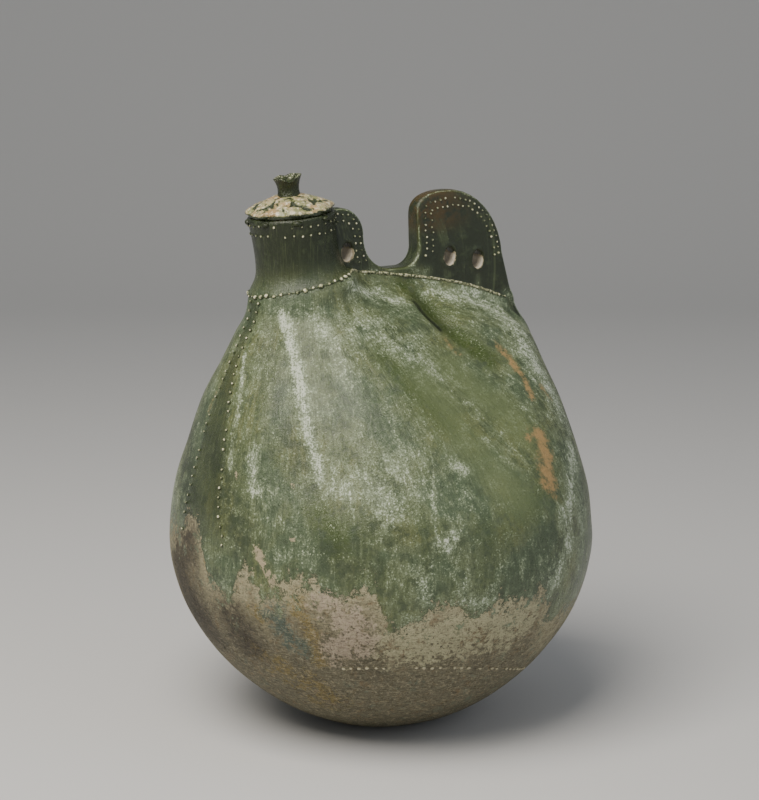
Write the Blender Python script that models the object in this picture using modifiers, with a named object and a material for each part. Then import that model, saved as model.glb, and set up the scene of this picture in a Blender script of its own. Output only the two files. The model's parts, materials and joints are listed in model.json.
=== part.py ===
# Lidded earthenware flask in the shape of a stitched leather bag.
# Metres, +Z up. +X runs along the crest, from the neck to the rear lug, and -Y is the
# side that the photograph shows. The origin is the middle of the face it rests on.

import math

import bmesh
import bpy
from mathutils import Vector

# Bag
BAG_RADIUS = 0.1392
WAIST_HEIGHT = 0.1243       # where the bag is widest and its two halves meet
BASE_RADIUS = 0.0334        # flat face under the rounded bottom
BAG_WALL = 0.007
BOWL_SIDE_SHARE = 1.39      # powers that draw the bowl's side
BOWL_DEPTH_SHARE = 1.03

# Seat of the neck and ridge of the shoulder
NECK_OFFSET = 0.0597        # from the bag's middle towards -X
SEAT_HEIGHT = 0.2916
SEAT_RADIUS = 0.0322
SEAT_TILT = math.radians(11)
RIDGE_END_SHARE = 0.6997    # of the bag's radius
RIDGE_END = BAG_RADIUS * RIDGE_END_SHARE
RIDGE_WIDTH = 0.018
RIDGE_FALL = 0.029          # from the seat's edge down to the ridge's end
RIDGE_STRAIGHT_SHARE = 0.6

# Neck
NECK_LENGTH = 0.0459
NECK_LEAN = math.radians(9.4)
MOUTH_TILT = math.radians(5.6)
NECK_FOOT_RADIUS = 0.0295
NECK_WAIST_RADIUS = 0.0261
MOUTH_RADIUS = 0.0279
NECK_WALL = 0.006
NECK_WAIST_SHARE = 0.55
NECK_FLARE_SHARE = 2.2      # power by which the foot spreads below the waist
LIP_ROUND = 0.0012
NECK_FOOT = 0.006           # depth that the bag cuts away

# Crest with its two lugs, as rises above the neck's seat
CREST_THICKNESS = 0.0145
CREST_TOP_SHARE = 0.64
CREST_ROUND = 0.0022
CREST_FOOT = 0.005          # depth that the bag cuts away
FRONT_LUG_PROUD = 0.001     # over the middle of the neck's mouth
FRONT_LUG_RISE = NECK_LENGTH + FRONT_LUG_PROUD
FRONT_LUG_ROUND_SHARE = 0.4226      # radius as a share of the lug's free height
FINGER_GAP = 0.0418
SADDLE_RISE = 0.0062
SADDLE_FRONT_SHARE = 0.5037         # also of the front lug's free height
SADDLE_REAR_RADIUS = 0.012
REAR_LUG_X = 0.0250         # its side that faces the neck
REAR_LUG_RISE = 0.0537
REAR_LUG_LEAN = 0.0012
REAR_LUG_CROWN = 0.025      # from that side to the highest point
REAR_LUG_SHOULDER = 0.0143
REAR_LUG_SETBACK = 0.0052   # from its back to the ridge's end
REAR_LUG_BACK_DROP = 0.052
CROWN_SQUARE_SHARE = 2.5    # 2 is an ellipse, more is squarer
BACK_SQUARE_SHARE = 2.1
CREST_TAIL = 0.0038         # how far the foot runs past the ridge
JOINT_OFFSET = 0.004        # from a lug's side to its joint with the saddle

# Suspension holes, as ellipses
HOLE_WIDTH = 0.0086
HOLE_HEIGHT = 0.0128
FRONT_HOLE_X = -0.0290
FRONT_HOLE_RISE = 0.0196
REAR_HOLE_X = 0.0488
REAR_HOLE_RISE = 0.0107
REAR_HOLE_SPACING = 0.0224
REAR_HOLE_DROP = 0.0036
HOLE_LEAN = math.radians(8)

# Welts
WELT_RADIUS = 0.0015

# Lid
LID_RADIUS = 0.0289
LID_EDGE = 0.0034
LID_DOME = 0.0072
LID_PETALS = 8
PETAL_DEPTH = 0.0011
PETAL_FULLNESS_SHARE = 0.7
PLATE_RING_SHARES = (0.96, 0.85, 0.7, 0.5, 0.32)
SPIGOT_DEPTH = 0.008
SPIGOT_WALL = 0.004
SPIGOT_CLEARANCE = 0.0012
KNOB_FOOT_RADIUS = 0.0076
KNOB_WAIST_RADIUS = 0.0069
KNOB_LIP_RADIUS = 0.0091
KNOB_HEIGHT = 0.0132
KNOB_CUP_DEPTH = 0.0042
KNOB_LIP_WALL = 0.0024
KNOB_RING_SHARES = (0, 0.12, 0.4, 0.68, 1)
KNOB_BREAK = 0.0014         # rise and fall of the broken lip

# Fits and fineness
GAP = 0.0003                # between pieces that touch
WELD = 0.00002              # points nearer than this are one point
OVERRUN = 0.004             # how far a cutter runs past what it cuts
BAG_STEPS = 64
BOWL_STEPS = 14
NECK_STEPS = 48
KNOB_STEPS = 32
ARC_STEPS = 9

# Share of the rise from the waist to the seat, then how far the section's neck end has
# moved and narrowed, and how far its rear end has moved and narrowed
STATION_SHARES = (
    (0.00, 0.00, 0.000, 0.00, 0.000),
    (0.19, 0.03, 0.051, 0.02, 0.043),
    (0.38, 0.20, 0.223, 0.18, 0.197),
    (0.56, 0.46, 0.440, 0.45, 0.427),
    (0.72, 0.72, 0.684, 0.68, 0.642),
    (0.87, 0.90, 0.881, 0.86, 0.820),
    (1.00, 1.00, 1.000, 1.00, 1.000),
)
BAG_LEVEL_SHARES = (0, 0.09, 0.19, 0.29, 0.38, 0.47, 0.56, 0.64, 0.72, 0.8, 0.87)
PINCH_LEVEL_SHARES = (0.5, 1)
CAVITY_PINCH_SHARE = 0.5
CAVITY_LEAN_SHARE = 0.3     # how the wall turns from upright to sloping as the bag closes
CAVITY_DROP_SHARE = 1.5
DRAPE_SHARE = 2.2           # power by which the ridge's line fades out down the bag

# Colours as linear values
DARK_GLAZE = (0.045, 0.075, 0.028)
GREEN_GLAZE = (0.13, 0.19, 0.075)
BARE_CLAY = (0.42, 0.36, 0.25)
CREAM_GLAZE = (0.50, 0.45, 0.32)


def fresh_collection(name):
    collection = bpy.data.collections.new(name)
    bpy.context.scene.collection.children.link(collection)
    return collection


for stale in list(bpy.data.objects):
    bpy.data.objects.remove(stale, do_unlink=True)
parts = fresh_collection("earthenware_flask")
cutters = fresh_collection("cutters")


def clay_material(name, colour, roughness):
    material = bpy.data.materials.new(name)
    material.use_nodes = True
    shader = material.node_tree.nodes["Principled BSDF"]
    shader.inputs["Base Color"].default_value = (*colour, 1)
    shader.inputs["Roughness"].default_value = roughness
    shader.inputs["Metallic"].default_value = 0
    return material


def place(name, mesh, material=None, parent=None):
    """Adds a part, or a cutter when it has no material."""
    thing = bpy.data.objects.new(name, mesh)
    if material:
        parts.objects.link(thing)
        mesh.materials.append(material)
    else:
        cutters.objects.link(thing)
        thing.hide_render = True
        thing.display_type = "WIRE"
    thing.parent = parent
    return thing


def smooth(thing, degrees=35):
    thing.data.shade_smooth()
    thing.data.set_sharp_from_angle(angle=math.radians(degrees))


def cut(target, cutter, operation="DIFFERENCE"):
    boolean = target.modifiers.new(cutter.name, "BOOLEAN")
    boolean.operation = operation
    boolean.solver = "EXACT"
    boolean.object = cutter


def axis_empty(name, location, tilt, parent=None):
    empty = bpy.data.objects.new(name, None)
    parts.objects.link(empty)
    empty.location = location
    empty.rotation_euler.y = -tilt
    empty.parent = parent
    return empty


def turned(name, profile, steps, material=None, parent=None):
    """Spins (radius, height) points about Z. The outer side runs from top to bottom."""
    mesh = bpy.data.meshes.new(name)
    points = [(radius, 0, height) for radius, height in profile]
    edges = [(index, index + 1) for index in range(len(points) - 1)]
    if profile[0][0] > 0:
        edges.append((len(points) - 1, 0))
    mesh.from_pydata(points, edges, [])
    thing = place(name, mesh, material, parent)
    screw = thing.modifiers.new("turned", "SCREW")
    screw.axis = "Z"
    screw.steps = steps
    screw.render_steps = steps
    screw.use_merge_vertices = True
    screw.merge_threshold = WELD
    screw.use_smooth_shade = True
    return thing


def loft(name, loops, material=None, parent=None, low_cap="ladder", high_cap="ladder"):
    """Joins closed loops of equal counts, listed upwards, each turning anticlockwise."""
    mesh = bpy.data.meshes.new(name)
    work = bmesh.new()
    rows = [[work.verts.new(point) for point in loop] for loop in loops]
    count = len(rows[0])
    for low, high in zip(rows, rows[1:]):
        for index in range(count):
            after = (index + 1) % count
            work.faces.new((low[index], low[after], high[after], high[index]))
    close_loop(work, list(reversed(rows[0])), low_cap)
    close_loop(work, rows[-1], high_cap)
    work.to_mesh(mesh)
    work.free()
    return place(name, mesh, material, parent)


def close_loop(work, row, cap):
    """Caps a loop with rungs across it, or with a fan from its middle."""
    count = len(row)
    if cap == "fan":
        middle = work.verts.new(sum((vert.co for vert in row), Vector()) / count)
        for index in range(count):
            work.faces.new((row[index], row[(index + 1) % count], middle))
        return
    # Rungs join each point to its mirror image across the XZ plane
    start = min(range(count), key=lambda index: row[index].co.x)
    row = row[start:] + row[:start]
    for index in range(count // 2):
        corners = [row[index], row[index + 1], row[-index - 1], row[-index]]
        if index == 0:
            corners = [row[0], row[1], row[-1]]
        elif index == count // 2 - 1:
            corners = [row[index], row[index + 1], row[-index]]
        work.faces.new(corners)


def tube(name, points, radius, material, parent=None):
    """A roll of clay along an open line of points."""
    curve = bpy.data.curves.new(name, "CURVE")
    curve.dimensions = "3D"
    curve.bevel_depth = radius
    curve.bevel_resolution = 1
    curve.use_fill_caps = True
    spline = curve.splines.new("POLY")
    spline.points.add(len(points) - 1)
    for target, point in zip(spline.points, points):
        target.co = (*point, 1)
    thing = bpy.data.objects.new(name, curve)
    parts.objects.link(thing)
    curve.materials.append(material)
    thing.parent = parent
    return thing


def arc(centre_x, centre_z, radius_x, radius_z, start, end, squareness=2):
    """Points on a quarter of an ellipse, or of a squarer curve, from start to end degrees."""
    points = []
    for step in range(ARC_STEPS + 1):
        angle = math.radians(start + (end - start) * step / ARC_STEPS)
        across = math.copysign(abs(math.cos(angle)) ** (2 / squareness), math.cos(angle))
        up = math.copysign(abs(math.sin(angle)) ** (2 / squareness), math.sin(angle))
        points.append((centre_x + radius_x * across, centre_z + radius_z * up))
    return points


# Bag

SEAT_EDGE = SEAT_RADIUS - NECK_OFFSET


def ridge_height(x):
    """Height of the shoulder's top line: the tilted seat, then the falling ridge."""
    if x <= SEAT_EDGE:
        reach = max(x + NECK_OFFSET, -SEAT_RADIUS)
        return SEAT_HEIGHT + reach * math.tan(SEAT_TILT)
    share = min((x - SEAT_EDGE) / (RIDGE_END - SEAT_EDGE), 1)
    fall = RIDGE_STRAIGHT_SHARE * share + (1 - RIDGE_STRAIGHT_SHARE) * share ** 4
    return SEAT_HEIGHT + SEAT_RADIUS * math.tan(SEAT_TILT) - RIDGE_FALL * fall


def station_share(column, level):
    """A station's share at any level, on a smooth curve through the table."""
    table = STATION_SHARES
    index = 0
    while level > table[index + 1][0]:
        index += 1

    def slope(row):
        before = table[max(row - 1, 0)]
        after = table[min(row + 1, len(table) - 1)]
        return (after[column] - before[column]) / (after[0] - before[0])

    low, high = table[index], table[index + 1]
    span = high[0] - low[0]
    t = (level - low[0]) / span
    value = low[column] * (1 + 2 * t) * (1 - t) ** 2 + high[column] * t * t * (3 - 2 * t)
    return value + span * (slope(index) * t * (1 - t) ** 2 - slope(index + 1) * t * t * (1 - t))


def even_points(line, count):
    """Spreads points evenly along a line of (x, y) places."""
    runs = [0.0]
    for before, after in zip(line, line[1:]):
        runs.append(runs[-1] + math.dist(before, after))
    spread = []
    index = 0
    for step in range(count):
        target = runs[-1] * step / (count - 1)
        while index < len(runs) - 2 and runs[index + 1] < target:
            index += 1
        share = (target - runs[index]) / (runs[index + 1] - runs[index])
        before, after = line[index], line[index + 1]
        spread.append([a + (b - a) * share for a, b in zip(before, after)])
    return spread


def section_half(neck_x, neck_radius, rear_x, rear_radius):
    """Front half of a section with a round end at each side, from -X to +X."""
    lean = math.asin((neck_radius - rear_radius) / (rear_x - neck_x)) if rear_x > neck_x else 0
    ends = ((neck_x, neck_radius, math.pi, math.pi / 2 - lean), (rear_x, rear_radius, math.pi / 2 - lean, 0))
    line = []
    for x, radius, start, end in ends:
        for step in range(BAG_STEPS + 1):
            angle = start + (end - start) * step / BAG_STEPS
            line.append((x + radius * math.cos(angle), -radius * math.sin(angle)))
    return even_points(line, BAG_STEPS // 2 + 1)


def keyhole_half(seat_radius, half_width):
    """Front half of the shoulder's top: the neck's seat with the ridge behind it."""
    meet = math.asin(half_width / seat_radius)
    ends = ((-NECK_OFFSET, seat_radius, math.pi, meet), (RIDGE_END - half_width, half_width, math.pi / 2, 0))
    line = []
    for x, radius, start, end in ends:
        for step in range(BAG_STEPS + 1):
            angle = start + (end - start) * step / BAG_STEPS
            line.append((x + radius * math.cos(angle), -radius * math.sin(angle)))
    return even_points(line, BAG_STEPS // 2 + 1)


def bag_loop(level, grow):
    """Section of the bag at a share of the rise above its waist."""
    neck_moved, neck_narrowed, rear_moved, rear_narrowed = [
        station_share(column, level) for column in range(1, 5)]
    neck_radius = BAG_RADIUS + (SEAT_RADIUS - BAG_RADIUS) * neck_narrowed
    rear_radius = BAG_RADIUS + (RIDGE_WIDTH / 2 - BAG_RADIUS) * rear_narrowed
    rear_end = RIDGE_END - RIDGE_WIDTH / 2
    half = section_half(-NECK_OFFSET * neck_moved, neck_radius + grow,
                        rear_end * rear_moved, rear_radius + grow)
    rise = (SEAT_HEIGHT - WAIST_HEIGHT) * level
    drape = level ** DRAPE_SHARE
    return mirrored([(x, y, WAIST_HEIGHT + rise + drape * (ridge_height(x) - SEAT_HEIGHT))
                     for x, y in half])


def mirrored(half):
    """Closes a front half, listed from -X to +X, with its mirror image."""
    back = [(x, -y, z) for x, y, z in reversed(half[1:-1])]
    return half + back


def blended(low, high, share):
    return [tuple(a + (b - a) * share for a, b in zip(p, q)) for p, q in zip(low, high)]


def lowered(loop, drop):
    return [(x, y, z - drop) for x, y, z in loop]


def bag_solid(name, grow, material=None):
    """Upper half of the bag, closed across its waist and its top."""
    loops = [bag_loop(level, grow) for level in BAG_LEVEL_SHARES]
    half = keyhole_half(SEAT_RADIUS + grow, RIDGE_WIDTH / 2 + grow)
    top = mirrored([(x, y, ridge_height(x) + grow) for x, y in half])
    loops += [blended(loops[-1], top, share) for share in PINCH_LEVEL_SHARES]
    if grow > 0:
        loops.insert(0, lowered(loops[0], OVERRUN))
    return loft(name, loops, material)


def bag_cavity():
    """The hollow inside the upper half, with its walls leaning in as the bag does."""
    loops = []
    for level in BAG_LEVEL_SHARES:
        inward = BAG_WALL * (1 - CAVITY_LEAN_SHARE * level)
        loops.append(lowered(bag_loop(level, -inward), BAG_WALL * level ** CAVITY_DROP_SHARE))
    half = keyhole_half(SEAT_RADIUS - BAG_WALL, RIDGE_WIDTH / 2 - BAG_WALL)
    top = mirrored([(x, y, ridge_height(x) - BAG_WALL) for x, y in half])
    loops.append(blended(loops[-1], top, CAVITY_PINCH_SHARE))
    loops.insert(0, lowered(loops[0], OVERRUN))
    return loft("cavity_cutter", loops)


def bowl_profile():
    """Inner side from the middle up to the rim, then the outer side down to the base."""
    outer = []
    for step in range(BOWL_STEPS + 1):
        angle = math.pi / 2 * step / BOWL_STEPS
        radius = BASE_RADIUS + (BAG_RADIUS - BASE_RADIUS) * math.cos(angle) ** BOWL_SIDE_SHARE
        height = WAIST_HEIGHT * (1 - math.sin(angle) ** BOWL_DEPTH_SHARE)
        outer.append((radius, height))
    inner = [(BAG_RADIUS - BAG_WALL, WAIST_HEIGHT - GAP)]
    for step in range(2, BOWL_STEPS, 2):
        before, here, after = outer[step - 1], outer[step], outer[step + 1]
        run = math.dist(before, after)
        inner.append((here[0] - (before[1] - after[1]) / run * BAG_WALL,
                      here[1] + (before[0] - after[0]) / run * BAG_WALL))
    inner.append((0, BAG_WALL))
    outer[0] = (BAG_RADIUS, WAIST_HEIGHT - GAP)
    outer[-1] = (BASE_RADIUS, 0)
    return list(reversed(inner)) + outer + [(0, 0)]


def make_bag():
    green = clay_material("green_glaze", GREEN_GLAZE, 0.35)
    clay = clay_material("bare_clay", BARE_CLAY, 0.75)
    turned("lower_bag", bowl_profile(), BAG_STEPS, clay)
    upper_bag = bag_solid("upper_bag", 0, green)
    smooth(upper_bag)
    cut(upper_bag, bag_cavity())
    bore_radius = NECK_FOOT_RADIUS - NECK_WALL
    profile = [(0, SEAT_RADIUS), (bore_radius, SEAT_RADIUS), (bore_radius, -SEAT_RADIUS), (0, -SEAT_RADIUS)]
    cut(upper_bag, turned("seat_bore_cutter", profile, NECK_STEPS, None, seat_axis))


# Neck

seat_axis = axis_empty("seat_axis", (-NECK_OFFSET, 0, SEAT_HEIGHT), SEAT_TILT)
neck_axis = axis_empty("neck_axis", (-NECK_OFFSET, 0, SEAT_HEIGHT), MOUTH_TILT)
NECK_SHIFT_SHARE = math.tan(NECK_LEAN - MOUTH_TILT)


def neck_radius(height):
    """Outer radius, drawn in from the foot to the waist and flared to the mouth."""
    waist = NECK_LENGTH * NECK_WAIST_SHARE
    if height < waist:
        spread = (1 - height / waist) ** NECK_FLARE_SHARE
        return NECK_WAIST_RADIUS + (NECK_FOOT_RADIUS - NECK_WAIST_RADIUS) * spread
    share = (height - waist) / (NECK_LENGTH - waist)
    return NECK_WAIST_RADIUS + (MOUTH_RADIUS - NECK_WAIST_RADIUS) * share ** 2


def neck_side(grow):
    """Points up the neck's side, from below its seat to its lip."""
    top = NECK_LENGTH - LIP_ROUND
    heights = [top * step / ARC_STEPS for step in range(ARC_STEPS + 1)]
    return [(NECK_FOOT_RADIUS + grow, -NECK_FOOT)] + [(neck_radius(z) + grow, z) for z in heights]


def leaned(name, profile, material=None):
    """A turned shape whose rings step sideways as they rise, so that it leans outwards."""
    round_one = turned(name + "_round", profile, NECK_STEPS)
    bpy.context.view_layer.update()
    mesh = bpy.data.meshes.new_from_object(
        round_one.evaluated_get(bpy.context.evaluated_depsgraph_get()))
    bpy.data.objects.remove(round_one, do_unlink=True)
    for vert in mesh.vertices:
        vert.co.x -= vert.co.z * NECK_SHIFT_SHARE
    return place(name, mesh, material, neck_axis)


def make_neck(bag):
    dark = clay_material("dark_glaze", DARK_GLAZE, 0.25)
    lip = [(MOUTH_RADIUS - NECK_WALL + LIP_ROUND, NECK_LENGTH), (MOUTH_RADIUS - LIP_ROUND, NECK_LENGTH)]
    profile = neck_side(-NECK_WALL) + lip + list(reversed(neck_side(0)))
    neck = leaned("neck", profile, dark)
    cut(neck, bag)
    smooth(neck)


def neck_cutter():
    top = [(0, NECK_LENGTH + OVERRUN), (MOUTH_RADIUS + GAP, NECK_LENGTH + OVERRUN)]
    return leaned("neck_cutter", top + list(reversed(neck_side(GAP))) + [(0, -NECK_FOOT)])


# Crest

def crest_outline():
    """Side view of the two lugs and the saddle between them, as (x, z) places."""
    gap_start = REAR_LUG_X - FINGER_GAP
    front_top = SEAT_HEIGHT + FRONT_LUG_RISE
    saddle = SEAT_HEIGHT + SADDLE_RISE
    lug_round = FRONT_LUG_ROUND_SHARE * (front_top - saddle)
    saddle_round = SADDLE_FRONT_SHARE * (front_top - saddle)
    crown_x = REAR_LUG_X - REAR_LUG_LEAN + REAR_LUG_CROWN
    crown = SEAT_HEIGHT + REAR_LUG_RISE
    back = RIDGE_END - REAR_LUG_SETBACK - crown_x
    line = [(-NECK_OFFSET, front_top)]
    line += arc(gap_start - lug_round, front_top - lug_round, lug_round, lug_round, 90, 0)
    line += arc(gap_start + saddle_round, saddle + saddle_round, saddle_round, saddle_round, 180, 270)
    line += arc(REAR_LUG_X - SADDLE_REAR_RADIUS, saddle + SADDLE_REAR_RADIUS,
                SADDLE_REAR_RADIUS, SADDLE_REAR_RADIUS, 270, 360)
    line += arc(crown_x, crown - REAR_LUG_SHOULDER, REAR_LUG_CROWN, REAR_LUG_SHOULDER, 180, 90,
                CROWN_SQUARE_SHARE)
    line += arc(crown_x, crown - REAR_LUG_BACK_DROP, back, REAR_LUG_BACK_DROP, 90, 8,
                BACK_SQUARE_SHARE)[1:]
    tail = RIDGE_END + CREST_TAIL
    foot_steps = 2 * ARC_STEPS
    for step in range(foot_steps + 1):
        x = tail - (tail + NECK_OFFSET) * step / foot_steps
        line.append((x, ridge_height(x) - CREST_FOOT))
    return line


def hole_outline(x, rise, lean):
    """One suspension hole, as (x, z) places."""
    line = []
    for step in range(2 * ARC_STEPS):
        angle = math.pi * step / ARC_STEPS
        across, up = HOLE_WIDTH / 2 * math.cos(angle), HOLE_HEIGHT / 2 * math.sin(angle)
        line.append((x + across * math.cos(lean) + up * math.sin(lean),
                     SEAT_HEIGHT + rise - across * math.sin(lean) + up * math.cos(lean)))
    return line


def crest_blank():
    """Mesh of the whole crest, rounded along its edges and thinner towards the top."""
    curve = bpy.data.curves.new("crest_blank", "CURVE")
    curve.dimensions = "2D"
    curve.fill_mode = "BOTH"
    curve.extrude = CREST_THICKNESS / 2 - CREST_ROUND
    curve.bevel_depth = CREST_ROUND
    curve.bevel_resolution = 1
    curve.offset = -CREST_ROUND
    outlines = [crest_outline(), hole_outline(FRONT_HOLE_X, FRONT_HOLE_RISE, HOLE_LEAN)]
    for number in range(2):
        outlines.append(hole_outline(REAR_HOLE_X + REAR_HOLE_SPACING * number,
                                     REAR_HOLE_RISE - REAR_HOLE_DROP * number, 0))
    for outline in outlines:
        spline = curve.splines.new("POLY")
        spline.points.add(len(outline) - 1)
        spline.use_cyclic_u = True
        for target, (x, z) in zip(spline.points, outline):
            target.co = (x, z, 0, 1)
    blank = bpy.data.objects.new("crest_blank", curve)
    cutters.objects.link(blank)
    blank.rotation_euler.x = math.pi / 2
    bpy.context.view_layer.update()
    mesh = bpy.data.meshes.new_from_object(blank.evaluated_get(bpy.context.evaluated_depsgraph_get()))
    mesh.transform(blank.matrix_world)
    bpy.data.objects.remove(blank, do_unlink=True)
    work = bmesh.new()
    work.from_mesh(mesh)
    bmesh.ops.remove_doubles(work, verts=work.verts, dist=WELD)
    bmesh.ops.recalc_face_normals(work, faces=work.faces)
    for vert in work.verts:
        share = min(max((vert.co.z - SEAT_HEIGHT) / REAR_LUG_RISE, 0), 1)
        vert.co.y *= 1 - (1 - CREST_TOP_SHARE) * share
    work.to_mesh(mesh)
    work.free()
    return mesh


def slab(name, low_x, high_x):
    """Keeps one stretch of the crest."""
    bpy.ops.mesh.primitive_cube_add(size=1)
    box = bpy.context.object
    mesh = box.data
    tall = 2 * (FRONT_LUG_RISE + REAR_LUG_RISE)
    for vert in mesh.vertices:
        vert.co.x = low_x if vert.co.x < 0 else high_x
        vert.co.y *= 2 * CREST_THICKNESS
        vert.co.z = SEAT_HEIGHT + vert.co.z * tall
    bpy.data.objects.remove(box, do_unlink=True)
    return place(name, mesh)


def make_crest(bag):
    green = clay_material("crest_glaze", DARK_GLAZE, 0.25)
    blank = crest_blank()
    neck = neck_cutter()
    front_joint = REAR_LUG_X - FINGER_GAP + JOINT_OFFSET
    rear_joint = REAR_LUG_X - JOINT_OFFSET
    stretches = (("front_lug", -NECK_OFFSET - OVERRUN, front_joint),
                 ("saddle", front_joint + GAP, rear_joint - GAP),
                 ("rear_lug", rear_joint, RIDGE_END + SEAT_RADIUS))
    for name, low_x, high_x in stretches:
        member = place(name, blank.copy(), green)
        cut(member, slab(name + "_limits", low_x, high_x), "INTERSECT")
        cut(member, bag)
        if name == "front_lug":
            cut(member, neck)
        smooth(member, 50)


# Welts

def make_welts():
    pale = clay_material("worn_glaze", CREAM_GLAZE, 0.5)
    side = CREST_THICKNESS / 2 + GAP + WELT_RADIUS
    ring = NECK_FOOT_RADIUS + GAP + WELT_RADIUS
    start = math.asin((side + WELT_RADIUS) / ring)
    points = []
    for step in range(NECK_STEPS + 1):
        angle = start + 2 * (math.pi - start) * step / NECK_STEPS
        points.append((ring * math.cos(angle), ring * math.sin(angle), GAP + WELT_RADIUS))
    tube("neck_welt", points, WELT_RADIUS, pale, seat_axis)
    first = ring * math.cos(start) - NECK_OFFSET + 2 * WELT_RADIUS
    last = RIDGE_END - RIDGE_WIDTH / 4
    for name, direction in (("crest_welt_front", -1), ("crest_welt_back", 1)):
        points = []
        for step in range(2 * ARC_STEPS + 1):
            x = first + (last - first) * step / (2 * ARC_STEPS)
            slope = (ridge_height(x + GAP) - ridge_height(x - GAP)) / (2 * GAP)
            normal = Vector((-slope, 0, 1)).normalized() * (GAP + WELT_RADIUS)
            points.append((x + normal.x, direction * side, ridge_height(x) + normal.z))
        tube(name, points, WELT_RADIUS, pale)


# Lid

lid_axis = axis_empty("lid_axis", (-NECK_LENGTH * NECK_SHIFT_SHARE, 0, NECK_LENGTH + GAP), 0, neck_axis)


def lid_ring(radius, height, petal):
    """One ring of the lid, drawn in between the petals."""
    count = BAG_STEPS
    loop = []
    for step in range(count):
        angle = 2 * math.pi * step / count
        groove = 1 - abs(math.sin(angle * LID_PETALS / 2)) ** PETAL_FULLNESS_SHARE
        reach = radius - petal * groove
        loop.append((reach * math.cos(angle), reach * math.sin(angle), height - petal * groove / 2))
    return loop


def dome_height(radius):
    return LID_EDGE + LID_DOME * (1 - (radius / LID_RADIUS) ** 2)


def make_lid():
    cream = clay_material("lid_glaze", CREAM_GLAZE, 0.35)
    dark = clay_material("knob_glaze", DARK_GLAZE, 0.25)
    clay = clay_material("spigot_clay", BARE_CLAY, 0.75)
    edge = LID_RADIUS - LID_EDGE / 2
    loops = [lid_ring(edge, 0, 0), lid_ring(LID_RADIUS, LID_EDGE / 2, PETAL_DEPTH)]
    for share in PLATE_RING_SHARES:
        radius = LID_RADIUS * share
        loops.append(lid_ring(radius, dome_height(radius), PETAL_DEPTH * share))
    plate = loft("lid_plate", loops, cream, lid_axis, "fan", "fan")
    smooth(plate)

    spigot = MOUTH_RADIUS - NECK_WALL - SPIGOT_CLEARANCE
    turned("lid_spigot", [(spigot - SPIGOT_WALL, -SPIGOT_DEPTH), (spigot - SPIGOT_WALL, -GAP),
                          (spigot, -GAP), (spigot - SPIGOT_CLEARANCE, -SPIGOT_DEPTH)],
           NECK_STEPS, clay, lid_axis)
    make_knob(dark)


def make_knob(material):
    """Squat finial, solid below and cupped above, with a broken lip."""
    foot = dome_height(LID_RADIUS * PLATE_RING_SHARES[-1]) + GAP
    between = (KNOB_WAIST_RADIUS + KNOB_LIP_RADIUS) / 2
    radii = (KNOB_FOOT_RADIUS, KNOB_FOOT_RADIUS, KNOB_WAIST_RADIUS, between, KNOB_LIP_RADIUS)
    loops = []

    def ring(radius, height, share):
        count = KNOB_STEPS
        return [(radius * math.cos(2 * math.pi * step / count), radius * math.sin(2 * math.pi * step / count),
                 foot + height + share * KNOB_BREAK * math.cos(2 * math.pi * step / count))
                for step in range(count)]

    for share, radius in zip(KNOB_RING_SHARES, radii):
        loops.append(ring(radius, KNOB_HEIGHT * share, share ** 2))
    loops.append(ring(KNOB_LIP_RADIUS - KNOB_LIP_WALL, KNOB_HEIGHT, 1))
    loops.append(ring(KNOB_LIP_RADIUS - 2 * KNOB_LIP_WALL, KNOB_HEIGHT - KNOB_CUP_DEPTH, 0))
    knob = loft("lid_knob", loops, material, lid_axis, "fan", "fan")
    smooth(knob)


make_bag()
bag_cutter = bag_solid("bag_cutter", GAP)
make_neck(bag_cutter)
make_crest(bag_cutter)
make_welts()
make_lid()
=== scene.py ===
# Green-glazed earthenware flask in the shape of a stitched leather bag, with its lid.
# Metres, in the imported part's frame: +X runs along the crest, -Y is the side photographed.

import json
import math
from functools import partial

import bmesh
import bpy
import numpy as np
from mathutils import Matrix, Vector

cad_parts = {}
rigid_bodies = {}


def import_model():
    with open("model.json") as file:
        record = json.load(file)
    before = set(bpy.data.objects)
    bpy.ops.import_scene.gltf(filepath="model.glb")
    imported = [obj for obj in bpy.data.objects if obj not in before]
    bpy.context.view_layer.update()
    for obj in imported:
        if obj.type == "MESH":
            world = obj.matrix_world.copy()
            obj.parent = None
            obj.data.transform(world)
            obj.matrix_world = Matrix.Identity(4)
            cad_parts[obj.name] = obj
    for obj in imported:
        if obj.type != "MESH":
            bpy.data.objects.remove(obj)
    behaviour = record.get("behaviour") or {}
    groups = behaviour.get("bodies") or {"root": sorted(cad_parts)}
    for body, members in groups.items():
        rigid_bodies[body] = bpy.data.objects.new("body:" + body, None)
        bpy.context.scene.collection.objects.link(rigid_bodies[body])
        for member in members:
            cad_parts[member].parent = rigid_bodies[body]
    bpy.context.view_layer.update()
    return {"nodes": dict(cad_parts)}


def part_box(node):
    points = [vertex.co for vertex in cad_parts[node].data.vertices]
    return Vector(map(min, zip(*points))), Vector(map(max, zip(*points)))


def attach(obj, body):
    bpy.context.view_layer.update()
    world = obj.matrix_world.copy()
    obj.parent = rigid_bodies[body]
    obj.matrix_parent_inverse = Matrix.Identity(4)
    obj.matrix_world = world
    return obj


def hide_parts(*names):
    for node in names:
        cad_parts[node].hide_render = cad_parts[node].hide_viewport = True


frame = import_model()
mm = 0.001


# Small helpers for nodes, colours and meshes

def linear(code):
    # sRGB hex to the linear colour that a socket wants
    values = [int(code[i:i + 2], 16) / 255 for i in (0, 2, 4)]
    return (*[v / 12.92 if v <= 0.04045 else ((v + 0.055) / 1.055) ** 2.4 for v in values], 1)


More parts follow.
